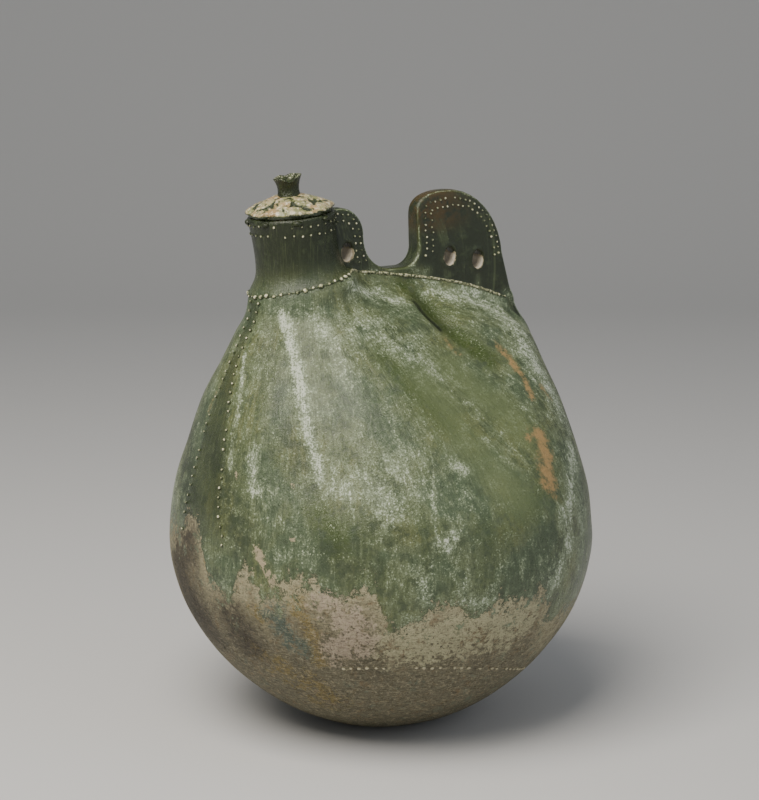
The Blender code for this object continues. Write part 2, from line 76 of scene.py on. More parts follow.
def addNode(tree, kind, inputs=None, **settings):
    # one node with its settings; an input is a value, or a socket, a node or a list of them to link from
    node = tree.nodes.new(kind)
    for name, value in settings.items():
        setattr(node, name, value)
    for key, given in (inputs or {}).items():
        for value in given if isinstance(given, list) else [given]:
            value = value.outputs[0] if isinstance(value, bpy.types.Node) else value
            if isinstance(value, bpy.types.NodeSocket):
                tree.links.new(value, node.inputs[key])
            else:
                node.inputs[key].default_value = value
    return node


def pieceFromMesh(name, mesh):
    piece = bpy.data.objects.new(name, mesh)
    bpy.context.scene.collection.objects.link(piece)
    return piece


def meshFromArrays(name, points, faces):
    mesh = bpy.data.meshes.new(name)
    mesh.from_pydata([tuple(p) for p in points], [], [tuple(f) for f in faces])
    mesh.shade_smooth()
    return mesh


def pointsOf(mesh):
    points = np.empty(len(mesh.vertices) * 3)
    mesh.vertices.foreach_get("co", points)
    return points.reshape(-1, 3)


def movePoints(mesh, points):
    mesh.vertices.foreach_set("co", np.ravel(points))
    mesh.shade_smooth()
    mesh.update()


# Body of the flask: one fired piece, drawn as a field that is negative inside the clay

body = {
    "radius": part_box("lower_bag")[1].x,     # widest, at the waist
    "waist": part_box("upper_bag")[0].z,
    "base": 33.4 * mm,                      # radius of the flat under the rounded bottom
    "wall": 7 * mm,
    "bowlSide": 1.39, "bowlDepth": 1.03,    # powers of the bowl's side
    "neckOffset": 59.7 * mm, "seatHeight": 291.6 * mm, "seatRadius": 32.2 * mm,
    "seatTilt": math.radians(11),
    "ridgeEnd": 97.4 * mm, "ridgeHalf": 9 * mm, "ridgeFall": 29 * mm, "ridgeStraight": 0.6,
    "drape": 2.2,
    "shoulderRound": 4 * mm, "neckRound": 10 * mm, "roundFrom": -25 * mm, "roundTo": -70 * mm,
    "seatFrom": 0.84, "seatFillet": 12 * mm,    # where the section starts to turn into the seat's
    # unevenness of the hand-built walls, and how much less of it the crest and the neck have
    "lump": 0.2 * mm, "wideLump": 1.3, "crestCalm": 0.85, "neckCalm": 0.4,
}
# Share of the rise from waist to seat, then how far the neck end and the rear end of the
# section have moved and narrowed there
levelShares = [0, 0.19, 0.38, 0.56, 0.72, 0.87, 1]
neckMovedShares = [0, 0.03, 0.20, 0.46, 0.72, 0.90, 1]
neckNarrowedShares = [0, 0.051, 0.223, 0.440, 0.684, 0.881, 1]
rearMovedShares = [0, 0.02, 0.18, 0.45, 0.68, 0.86, 1]
rearNarrowedShares = [0, 0.043, 0.197, 0.427, 0.642, 0.820, 1]

neck = {
    "length": 45.9 * mm, "foot": 29.5 * mm, "waist": 26.1 * mm, "mouth": 27.9 * mm,
    "wall": 6 * mm, "waistAt": 0.55, "flare": 2.2, "lip": 2.4 * mm,
    "tilt": math.radians(5.6), "lean": math.radians(9.4),
    # how softly it grows out of the shoulder, outside and inside, and the edge of its mouth
    "fillet": 14 * mm, "boreFillet": 4 * mm, "lipEdge": 1.5 * mm,
    "sinks": 12 * mm,                       # how far its clay goes down into the bag
    "trueMouth": (4 * mm, 16 * mm),         # no handwork this near the mouth, all of it this far down
}
crest = {
    "thickness": 14.5 * mm, "topShare": 0.64, "round": 2.4 * mm,
    "foot": 12 * mm, "footShare": 0.35, "footSteps": 3,    # depth in the bag, less at the tail
    "frontRise": 46.9 * mm, "frontRound": 17.2 * mm, "fingerGap": 41.8 * mm,
    "saddleRise": 6.2 * mm, "saddleFront": 20.5 * mm, "saddleRear": 12 * mm,
    "rearX": 25.0 * mm, "rearRise": 53.7 * mm, "rearLean": 1.2 * mm, "rearCrown": 25 * mm,
    "rearShoulder": 14.3 * mm, "rearBack": 43.4 * mm, "rearBackDrop": 52 * mm,
    "crownSquare": 2.5, "backSquare": 2.1, "tail": 3.8 * mm,
    "holeWide": 7.8 * mm, "holeTall": 11.6 * mm, "holeRound": 1.6 * mm,
    "holeLip": 0.7 * mm, "lipAt": 1.4 * mm, "lipWide": 1.3 * mm,    # the clay pushed up round a hole
    # x, height above the seat and lean of each hole
    "holes": [(-30 * mm, 19 * mm, math.radians(8)), (48.8 * mm, 10.7 * mm, 0), (71.2 * mm, 7.1 * mm, 0)],
    "fillet": 2.5 * mm, "tailFillet": 9 * mm, "tailFrom": 84 * mm, "tailTo": 102 * mm,
    # how the seam runs on down the end of the shoulder, behind the rear lug
    "keel": [(101.4, 267.5), (104, 262.5), (109, 253), (112.5, 247.5), (118, 237.5), (104, 232)],
}


def smoothMin(a, b, k):
    h = np.clip(0.5 + 0.5 * (b - a) / k, 0, 1)
    return b + (a - b) * h - k * h * (1 - h)


def smoothMax(a, b, k):
    return -smoothMin(-a, -b, k)


def smoothStep(low, high, value):
    t = np.clip((value - low) / (high - low), 0, 1)
    return t * t * (3 - 2 * t)


def smoothCurve(knots, values):
    # cubic curve through the given shares, as a fine table that np.interp reads
    knots, values = np.array(knots, float), np.array(values, float)
    slopes = np.empty_like(values)
    slopes[1:-1] = (values[2:] - values[:-2]) / (knots[2:] - knots[:-2])
    slopes[0] = (values[1] - values[0]) / (knots[1] - knots[0])
    slopes[-1] = (values[-1] - values[-2]) / (knots[-1] - knots[-2])
    fine = np.linspace(knots[0], knots[-1], 400)
    low = np.clip(np.searchsorted(knots, fine, side="right") - 1, 0, len(knots) - 2)
    span = knots[low + 1] - knots[low]
    t = (fine - knots[low]) / span
    curve = values[low] * (1 + 2 * t) * (1 - t) ** 2 + values[low + 1] * t * t * (3 - 2 * t)
    curve += span * (slopes[low] * t * (1 - t) ** 2 - slopes[low + 1] * t * t * (1 - t))
    return fine, curve


levelCurves = [smoothCurve(levelShares, column) for column in
               (neckMovedShares, neckNarrowedShares, rearMovedShares, rearNarrowedShares)]


def ridgeHeight(x):
    # the shoulder's top line: the tilted seat of the neck, then the falling ridge
    seatEdge = body["seatRadius"] - body["neckOffset"]
    slope = math.tan(body["seatTilt"])
    reach = np.clip(x + body["neckOffset"], -body["seatRadius"], body["seatRadius"])
    share = np.clip((x - seatEdge) / (body["ridgeEnd"] - seatEdge), 0, 1)
    fall = body["ridgeStraight"] * share + (1 - body["ridgeStraight"]) * share ** 4
    return body["seatHeight"] + reach * slope - body["ridgeFall"] * fall


def levelAt(x, z):
    # share of the rise from the waist to the seat, along the drape of the shoulder
    height = body["seatHeight"] - body["waist"]
    drop = ridgeHeight(x) - body["seatHeight"]
    level = np.clip((z - body["waist"]) / height, 0, 1.2)
    for _ in range(5):
        value = body["waist"] + height * level + drop * level ** body["drape"] - z
        slope = height + drop * body["drape"] * level ** (body["drape"] - 1)
        level = np.clip(level - value / slope, 0, 1.2)
    return np.minimum(level, 1)


def upperSide(x, y, z):
    # distance in plan to the section at this level: round at both ends
    level = levelAt(x, z)
    neckMoved, neckNarrowed, rearMoved, rearNarrowed = [np.interp(level, *curve) for curve in levelCurves]
    nearX = -body["neckOffset"] * neckMoved
    farX = (body["ridgeEnd"] - body["ridgeHalf"]) * rearMoved
    near = body["radius"] + (body["seatRadius"] - body["radius"]) * neckNarrowed
    far = body["radius"] + (body["ridgeHalf"] - body["radius"]) * rearNarrowed
    along = np.maximum(farX - nearX, mm * 0.01)
    lean = np.clip((near - far) / along, -0.999, 0.999)
    flat = np.sqrt(1 - lean * lean)
    px, py = x - nearX, np.abs(y)
    turn = flat * px - lean * py
    side = lean * px + flat * py - near
    side = np.where(turn < 0, np.hypot(px, py) - near, side)
    side = np.where(turn > flat * along, np.hypot(px - along, py) - far, side)
    seat = np.hypot(x + body["neckOffset"], y) - body["seatRadius"]
    run = np.clip(x, -body["neckOffset"], body["ridgeEnd"] - body["ridgeHalf"])
    keyhole = smoothMin(seat, np.hypot(x - run, y) - body["ridgeHalf"], body["seatFillet"])
    return side + (keyhole - side) * smoothStep(body["seatFrom"], 1, level)


def bagField(x, y, z):
    step = mm
    high = np.maximum(z, body["waist"] + step)
    slope = (upperSide(x, y, high + step) - upperSide(x, y, high - step)) / (2 * step)
    upper = upperSide(x, y, np.maximum(z, body["waist"])) / np.sqrt(1 + slope * slope)
    towardsNeck = smoothStep(body["roundFrom"], body["roundTo"], x)
    edge = body["shoulderRound"] + (body["neckRound"] - body["shoulderRound"]) * towardsNeck
    upper = smoothMax(upper, (z - ridgeHeight(x)) * math.cos(body["seatTilt"]), edge)
    # the bowl below is one smooth implicit curve, turned about the middle
    reach = body["radius"] - body["base"]
    out = np.maximum(np.hypot(x, y) - body["base"], 0) / reach
    down = np.clip(1 - z / body["waist"], 0, 2)
    sidePower, depthPower = 2 / body["bowlSide"], 2 / body["bowlDepth"]
    value = out ** sidePower + down ** depthPower - 1
    slopeOut = sidePower * out ** (sidePower - 1) / reach
    slopeDown = depthPower * down ** (depthPower - 1) / body["waist"]
    lower = value / np.sqrt(slopeOut ** 2 + slopeDown ** 2 + 1)
    return np.where(z > body["waist"], upper, lower)


neckShift = math.tan(neck["lean"] - neck["tilt"])    # its steps sideways, for each step along its axis


def neckPlace(x, y, z):
    # the neck's own frame, tilted with it: across from its axis, sideways, and up from its seat
    tilt = neck["tilt"]
    dx, dz = x + body["neckOffset"], z - body["seatHeight"]
    height = dz * math.cos(tilt) - dx * math.sin(tilt)
    return dx * math.cos(tilt) + dz * math.sin(tilt) + height * neckShift, y, height


def fromNeck(across, side, height):
    # the way back from the neck's frame
    tilt, across = neck["tilt"], across - height * neckShift
    return (across * math.cos(tilt) - height * math.sin(tilt) - body["neckOffset"], side,
            across * math.sin(tilt) + height * math.cos(tilt) + body["seatHeight"])


def neckRadius(height):
    waist = neck["length"] * neck["waistAt"]
    below = np.clip(1 - height / waist, 0, 1) ** neck["flare"]
    above = np.clip((height - waist) / (neck["length"] - waist), 0, 1) ** 2
    return neck["waist"] + (neck["foot"] - neck["waist"]) * below + (neck["mouth"] - neck["waist"]) * above


def quarter(centreX, centreZ, radiusX, radiusZ, start, end, square=2.0, steps=10):
    line = []
    for step in range(steps + 1):
        angle = math.radians(start + (end - start) * step / steps)
        across = math.copysign(abs(math.cos(angle)) ** (2 / square), math.cos(angle))
        up = math.copysign(abs(math.sin(angle)) ** (2 / square), math.sin(angle))
        line.append((centreX + radiusX * across, centreZ + radiusZ * up))
    return line


def crestOutline():
    # side view of the two lugs and the saddle between them
    c, seat = crest, body["seatHeight"]
    gapStart, crownX = c["rearX"] - c["fingerGap"], c["rearX"] - c["rearLean"] + c["rearCrown"]
    frontTop, saddle, crown = [seat + c[name] for name in ("frontRise", "saddleRise", "rearRise")]
    front, before, after = c["frontRound"], c["saddleFront"], c["saddleRear"]
    line = [(-body["neckOffset"], frontTop)]
    line += quarter(gapStart - front, frontTop - front, front, front, 90, 0)
    line += quarter(gapStart + before, saddle + before, before, before, 180, 270)
    line += quarter(c["rearX"] - after, saddle + after, after, after, 270, 360)
    tall, drop = c["rearShoulder"], c["rearBackDrop"]
    line += quarter(crownX, crown - tall, c["rearCrown"], tall, 180, 90, c["crownSquare"])
    line += quarter(crownX, crown - drop, c["rearBack"], drop, 90, 8, c["backSquare"])[1:]
    line += [(x * mm, z * mm) for x, z in c["keel"]]
    # back to the neck inside the bag
    tail = body["ridgeEnd"] + c["tail"]
    for step in range(1, 19):
        x = tail - (tail + body["neckOffset"]) * step / 18
        depth = c["footShare"] + (1 - c["footShare"]) * float(smoothStep(0, c["footSteps"], step))
        line.append((x, float(ridgeHeight(x)) - c["foot"] * depth))
    return line


def outlineDistance(x, z, outline):
    # signed distance in the XZ plane to a closed outline, negative inside
    best = np.full(np.broadcast(x, z).shape, 1.0)
    inside = np.zeros(best.shape, bool)
    for (ax, az), (bx, bz) in zip(outline, outline[1:] + outline[:1]):
        ex, ez = bx - ax, bz - az
        if ex * ex + ez * ez < 1e-14:
            continue
        wx, wz = x - ax, z - az
        t = np.clip((wx * ex + wz * ez) / (ex * ex + ez * ez), 0, 1)
        best = np.minimum(best, (wx - ex * t) ** 2 + (wz - ez * t) ** 2)
        if ez:
            inside ^= ((az <= z) != (bz <= z)) & (x < ax + wz * ex / ez)
    return np.where(inside, -1, 1) * np.sqrt(best)


crestLine = crestOutline()


def crestHalf(z):
    rise = np.clip((z - body["seatHeight"]) / crest["rearRise"], 0, 1)
    return crest["thickness"] / 2 * (1 - (1 - crest["topShare"]) * rise ** 3)


def holeDistance(x, z):
    # nearest suspension hole, as a rounded ellipse in the crest's plane
    nearest = 1.0
    for holeX, rise, lean in crest["holes"]:
        dx, dz = x - holeX, z - body["seatHeight"] - rise
        across = dx * math.cos(lean) - dz * math.sin(lean)
        up = dx * math.sin(lean) + dz * math.cos(lean)
        wide, tall = crest["holeWide"] / 2, crest["holeTall"] / 2
        ratio = np.sqrt((across / wide) ** 2 + (up / tall) ** 2) + 1e-9
        reach = np.hypot(across, up) + 1e-9
        nearest = np.minimum(nearest, reach * (1 - 1 / ratio))
    return nearest


def crestField(x, y, z):
    edge, rim = outlineDistance(x, z, crestLine), crest["round"]
    hole = holeDistance(x, z)
    lip = crest["holeLip"] * np.exp(-((hole - crest["lipAt"]) / crest["lipWide"]) ** 2)
    face = np.abs(y) - crestHalf(z) - lip
    a, b = edge + rim, face + rim
    slab = np.hypot(np.maximum(a, 0), np.maximum(b, 0)) + np.minimum(np.maximum(a, b), 0) - rim
    return smoothMax(slab, -hole, crest["holeRound"])


# Handwork that the field leaves out: waves of clay, pleats, the finger's dent and the seam

randomWaves = np.random.default_rng(5)
waveVectors = randomWaves.normal(size=(14, 3))
waveVectors /= np.linalg.norm(waveVectors, axis=1)[:, None]
waveLengths = randomWaves.uniform(26, 70, 14) * mm
wavePhases = randomWaves.uniform(0, 2 * math.pi, 14)


def waves(x, y, z, scale=1.0):
    total = 0
    for vector, length, phase in zip(waveVectors, waveLengths, wavePhases):
        along = x * vector[0] + y * vector[1] + z * vector[2]
        total = total + np.sin(along * 2 * math.pi / (length * scale) + phase)
    return total / math.sqrt(len(wavePhases))


def flaskField(x, y, z):
    bag = bagField(x, y, z)
    across, side, height = neckPlace(x, y, z)
    fromAxis = np.hypot(across, side)
    neckSide = smoothMax(fromAxis - neckRadius(height), height - neck["length"], neck["lip"])
    neckSolid = np.maximum(neckSide, -height - neck["sinks"])
    outer = smoothMin(bag, neckSolid, neck["fillet"])
    fillet = crest["fillet"] + crest["tailFillet"] * smoothStep(crest["tailFrom"], crest["tailTo"], x)
    outer = smoothMin(outer, crestField(x, y, z), fillet)
    bore = np.maximum(fromAxis - neckRadius(height) + neck["wall"], -height - body["seatRadius"])
    inner = smoothMin(bag + body["wall"], bore, neck["boreFillet"])
    return smoothMax(np.maximum(outer, -z), -inner, neck["lipEdge"])


# Mesh of the body: one vertex in each grid cell that the surface crosses, one face across
# each grid edge that it crosses

grid = {
    "x": 1.8 * mm, "y": 2.6 * mm, "z": 2.8 * mm,
    "thinY": 1.1 * mm, "thinReach": 11 * mm,    # finer across the crest
    "fineZ": 1.5 * mm, "fineFrom": 240 * mm,    # finer from the shoulder up
    "margin": 4 * mm,
    "passes": 3,                                # rounds of evening out and pulling to the surface
    "hiddenShare": 0.04,                        # share of the hollow's faces that are kept
}


def marks(*stretches):
    # grid lines along one axis: each stretch is (start, stop, spacing)
    lines = []
    for start, stop, spacing in stretches:
        count = max(round((stop - start) / spacing), 1)
        lines += [start + (stop - start) * step / count for step in range(count)]
    return np.array(lines + [stretches[-1][1]])


def shellOf(field, xs, ys, zs):
    values = field(xs[:, None, None], ys[None, :, None], zs[None, None, :])
    # where two walls cross one cell's side corner to corner, they are joined, so no edge has four faces
    for axis in range(3):
        flat = np.moveaxis(values, axis, 0)
        for _ in range(2):
            full = flat < 0
            crossing = (full[:, :-1, :-1] == full[:, 1:, 1:]) & (full[:, 1:, :-1] == full[:, :-1, 1:])
            crossing &= full[:, :-1, :-1] != full[:, 1:, :-1]
            a, b, c = np.nonzero(crossing)
            for stepB, stepC in ((0, 0), (0, 1), (1, 0), (1, 1)):
                flat[a, b + stepB, c + stepC] = np.minimum(flat[a, b + stepB, c + stepC], -0.02 * mm)
    inside = values < 0
    corners = [(a, b, c) for a in (0, 1) for b in (0, 1) for c in (0, 1)]
    nx, ny, nz = inside.shape
    filled = sum(inside[a:nx - 1 + a, b:ny - 1 + b, c:nz - 1 + c].astype(np.uint8) for a, b, c in corners)
    crossed = (filled > 0) & (filled < 8)
    number = np.full(crossed.shape, -1, np.int64)
    number[crossed] = np.arange(np.count_nonzero(crossed))
    i, j, k = np.nonzero(crossed)
    total, count = np.zeros((len(i), 3)), np.zeros(len(i))
    for start in corners:
        for axis in range(3):
            if start[axis]:
                continue
            end = [start[n] + (n == axis) for n in range(3)]
            first = values[i + start[0], j + start[1], k + start[2]]
            last = values[i + end[0], j + end[1], k + end[2]]
            meets = (first < 0) != (last < 0)
            share = np.where(meets, first / np.where(meets, first - last, 1), 0)
            places = [xs[i + start[0]], ys[j + start[1]], zs[k + start[2]]]
            ends = [xs[i + end[0]], ys[j + end[1]], zs[k + end[2]]]
            for n in range(3):
                total[:, n] += meets * (places[n] + share * (ends[n] - places[n]))
            count += meets
    quads = []
    for axis in range(3):
        b, c = (axis + 1) % 3, (axis + 2) % 3
        low = [slice(1, -1)] * 3
        low[axis] = slice(0, -1)
        high = list(low)
        high[axis] = slice(1, None)
        here, there = inside[tuple(low)], inside[tuple(high)]
        cell = list(np.nonzero(here != there))
        leaves = here[tuple(cell)]
        cell[b], cell[c] = cell[b] + 1, cell[c] + 1
        ring = []
        for stepB, stepC in ((-1, -1), (0, -1), (0, 0), (-1, 0)):
            place = list(cell)
            place[b], place[c] = cell[b] + stepB, cell[c] + stepC
            ring.append(number[tuple(place)])
        ring = np.stack(ring, 1)
        ring[~leaves] = ring[~leaves][:, ::-1]
        quads.append(ring)
    return total / count[:, None], np.concatenate(quads)


def slopeOf(field, points, step=0.2 * mm):
    # value of the field and the direction in which it grows
    value = field(*points.T)
    slope = np.stack([field(*(points + step * np.eye(3)[n]).T) - value for n in range(3)], 1) / step
    return value, slope


def pulled(field, points, quads, passes):
    # evens the faces out, then moves each point back to the surface
    edges = np.concatenate([quads[:, [n, (n + 1) % 4]] for n in range(4)])
    edges = np.unique(np.sort(edges, 1), axis=0)
    ends = np.concatenate([edges[:, 0], edges[:, 1]])
    others = np.concatenate([edges[:, 1], edges[:, 0]])
    near = np.bincount(ends, minlength=len(points))[:, None]
    for _ in range(passes):
        middle = np.stack([np.bincount(ends, points[others, n], len(points)) for n in range(3)], 1) / near
        points = points + 0.5 * (middle - points)
        value, slope = slopeOf(field, points)
        size = np.maximum(np.linalg.norm(slope, axis=1), 0.3)
        points = points - (np.clip(value, -mm, mm) / size ** 2)[:, None] * slope
    return points


def flaskMesh():
    radius, margin = body["radius"], grid["margin"]
    top = body["seatHeight"] + crest["rearRise"]
    reach, thin = radius + margin, grid["thinReach"]
    xs = marks((-reach, reach, grid["x"]))
    ys = marks((-reach, -thin, grid["y"]), (-thin, thin, grid["thinY"]), (thin, reach, grid["y"]))
    zs = marks((-margin, grid["fineFrom"], grid["z"]), (grid["fineFrom"], top + margin, grid["fineZ"]))
    points, quads = shellOf(flaskField, xs, ys, zs)
    return pulled(flaskField, points, quads, grid["passes"]), quads


# The flask as a piece

# The finger's dent below the rear lug and a long scratch, as bent lines in millimetres
dent = [(18.8, -14.8, 281.5), (21.8, -21.9, 276.3), (23, -31.5, 271), (26.1, -40.6, 264.9),
        (31.1, -45.8, 258.1), (36.6, -51.4, 250.6)]
scratch = [(-33.8, -108.8, 195.8), (-40.6, -119.9, 174.1), (-44, -128.3, 151.6), (-48.4, -129.7, 130.8)]
# Marks of the hand on the outside, in millimetres: a bent line, its depth and its half width
creases = [
    # the dent, and the fold along its lower side
    ([(15, -11, 286), *dent], 5.2, 8.5),
    ([(12.4, -21.9, 278.3), (12.2, -26.7, 275.7), (12.5, -32.1, 272.9), (13, -37, 270), (14.4, -40.6, 266.8),
      (16.6, -43.1, 263.4), (19.3, -45.8, 259.7)], 1.4, 2.6),
    # the pale fold that runs down from the neck, and the hollow on its right
    ([(-86.6, -20.2, 279.7), (-86.3, -24.3, 271.5), (-87.7, -33.6, 260.5), (-88.4, -41.9, 249.4),
      (-92, -54.5, 230.1), (-95.3, -67.9, 208)], -1.5, 5),
    ([(-69.5, -32.3, 286.7), (-69.5, -40.4, 269.1), (-71.4, -52.7, 252.5), (-75.4, -68.1, 230.5)], 1.5, 8),
    (scratch, 0.3, 1.6),
]
# Folds of the pretended leather that fan out all round the neck's foot
folds = {
    "count": 15, "rise": 0.9 * mm, "mean": 0.32, "halfAngle": 6.5, "sway": 0.1, "swayLength": 24 * mm,
    "bottom": (185 * mm, 249 * mm), "top": (305 * mm, 278 * mm), "seed": 11,
}
# Side seam on the neck's side: its two rows of stitches, as y at each height, in millimetres
seam = {
    "heights": [145, 156, 168, 190, 207, 218, 229, 238, 246, 256, 264, 272, 279],
    "rightY": [-28.1, -22.5, -19.6, -15, -12.5, -9.8, -6.5, -3, -1, -1, -1, -2.5, -4],
    "leftY": [20.5, 18.4, 16.6, 15.0, 11.5, 9.9, 9, 8, 7.5, 7, 7.5, 5.5, 4.5],
    "raise": 0.8 * mm, "edge": (-2.5 * mm, 1.5 * mm),
    "bottom": (120 * mm, 165 * mm), "top": (292 * mm, 280 * mm),    # where it fades in and out
}
# Lower edge of the glaze: azimuth round the flask, in degrees, and height, in millimetres
glazeEdge = [
    (0, 97), (15, 106), (32, 99), (50, 112), (68, 104), (85, 118), (102, 109), (120, 122), (138, 113),
    (155, 128), (163.5, 131), (170, 137), (179, 147), (181.5, 142), (184, 126), (186.5, 113), (189, 107),
    (191.6, 102.5), (195, 101.5), (197, 112), (198.7, 122), (201, 125.5), (203.2, 120), (204, 110.5),
    (205.5, 108), (206.7, 114.5), (214.8, 118.3), (216.7, 122.6), (218.3, 119.2), (220.4, 124), (223, 121.4),
    (227, 113), (233, 119), (236, 114), (239, 96), (247.7, 100), (251.5, 106.5),
    (257, 107), (261, 98.5), (269, 111), (270.6, 100.6), (277.7, 104), (282, 106.5), (286.5, 97.5),
    (291, 82), (302, 85), (318, 93), (335, 104), (348, 92), (360, 97),
]


def lineDistance(points, line):
    # distance to a bent line, and how far along it the nearest place is, from 0 to 1
    line = np.array(line) * mm
    lengths = np.linalg.norm(np.diff(line, axis=0), axis=1)
    passed = np.concatenate([[0], np.cumsum(lengths)])
    best, along = np.full(len(points), 1.0), np.zeros(len(points))
    for start, end, length, before in zip(line, line[1:], lengths, passed):
        step = (end - start) / length
        run = np.clip((points - start) @ step, 0, length)
        away = np.linalg.norm(points - start - run[:, None] * step, axis=1)
        along = np.where(away < best, (before + run) / passed[-1], along)
        best = np.minimum(best, away)
    return best, along


def partShares(points):
    # how far a place belongs to the neck, to the crest and to the hollow inside
    x, y, z = points.T
    bag = bagField(x, y, z)
    across, side, height = neckPlace(x, y, z)
    column = np.hypot(across, side) - neckRadius(height)
    neckShare = smoothStep(4 * mm, -4 * mm, column - bag)
    crestShare = smoothStep(mm, -mm, crestField(x, y, z) - np.minimum(bag, np.maximum(column, 0)))
    hollow = (bag < -body["wall"] / 2) | ((column < -neck["wall"] / 2) & (height > -body["seatRadius"]))
    return neckShare, crestShare, hollow


def seamShare(points):
    # 1 between the seam's two rows of stitches, on the neck's side of the flask
    x, y, z = points.T
    right = np.interp(z / mm, seam["heights"], seam["rightY"]) * mm
    left = np.interp(z / mm, seam["heights"], seam["leftY"]) * mm
    within = smoothStep(*seam["edge"], np.minimum(y - right, left - y))
    return within * smoothStep(*seam["bottom"], z) * smoothStep(*seam["top"], z) * (x < -body["neckOffset"])


def neckTurn(points):
    return np.arctan2(points[:, 1], points[:, 0] + body["neckOffset"])


def foldRise(points):
    random = np.random.default_rng(folds["seed"])
    turn, z = neckTurn(points), points[:, 2]
    total = np.zeros(len(points))
    for number in range(folds["count"]):
        middle = math.radians(360 / folds["count"] * (number + random.uniform(-0.3, 0.3)))
        middle = middle + folds["sway"] * np.sin(z / folds["swayLength"] + number)
        away = (turn - middle + math.pi) % (2 * math.pi) - math.pi
        rise = folds["rise"] * random.uniform(0.35, 1)
        total += rise * np.exp(-(away / math.radians(folds["halfAngle"])) ** 2)
    total -= folds["mean"] * folds["rise"]
    return total * smoothStep(*folds["bottom"], z) * smoothStep(*folds["top"], z)


def handwork(points, neckShare, crestShare, hollow):
    # how far the worked surface stands out from the field
    x, y, z = points.T
    rise = body["lump"] * (waves(x, y, z) + body["wideLump"] * waves(x, y, z, 2.6))
    rise += foldRise(points) * (1 - neckShare) + seam["raise"] * seamShare(points)
    for line, depth, halfWidth in creases:
        away, along = lineDistance(points, line)
        fade = np.sin(np.clip(along, 0.04, 0.96) * math.pi) ** 0.6
        rise -= depth * mm * fade * np.exp(-(away / (halfWidth * mm)) ** 2)
    # the mouth stays true for the lid, and nothing passes the body's widest circle
    below = neck["length"] - neckPlace(x, y, z)[2]
    mouth = np.where(neckShare > 0.5, smoothStep(*neck["trueMouth"], below), 1)
    rise *= (1 - body["crestCalm"] * crestShare) * (1 - body["neckCalm"] * neckShare) * mouth
    room = body["radius"] - np.hypot(x, y)
    return np.where(hollow, rise, smoothMin(rise, room, mm))
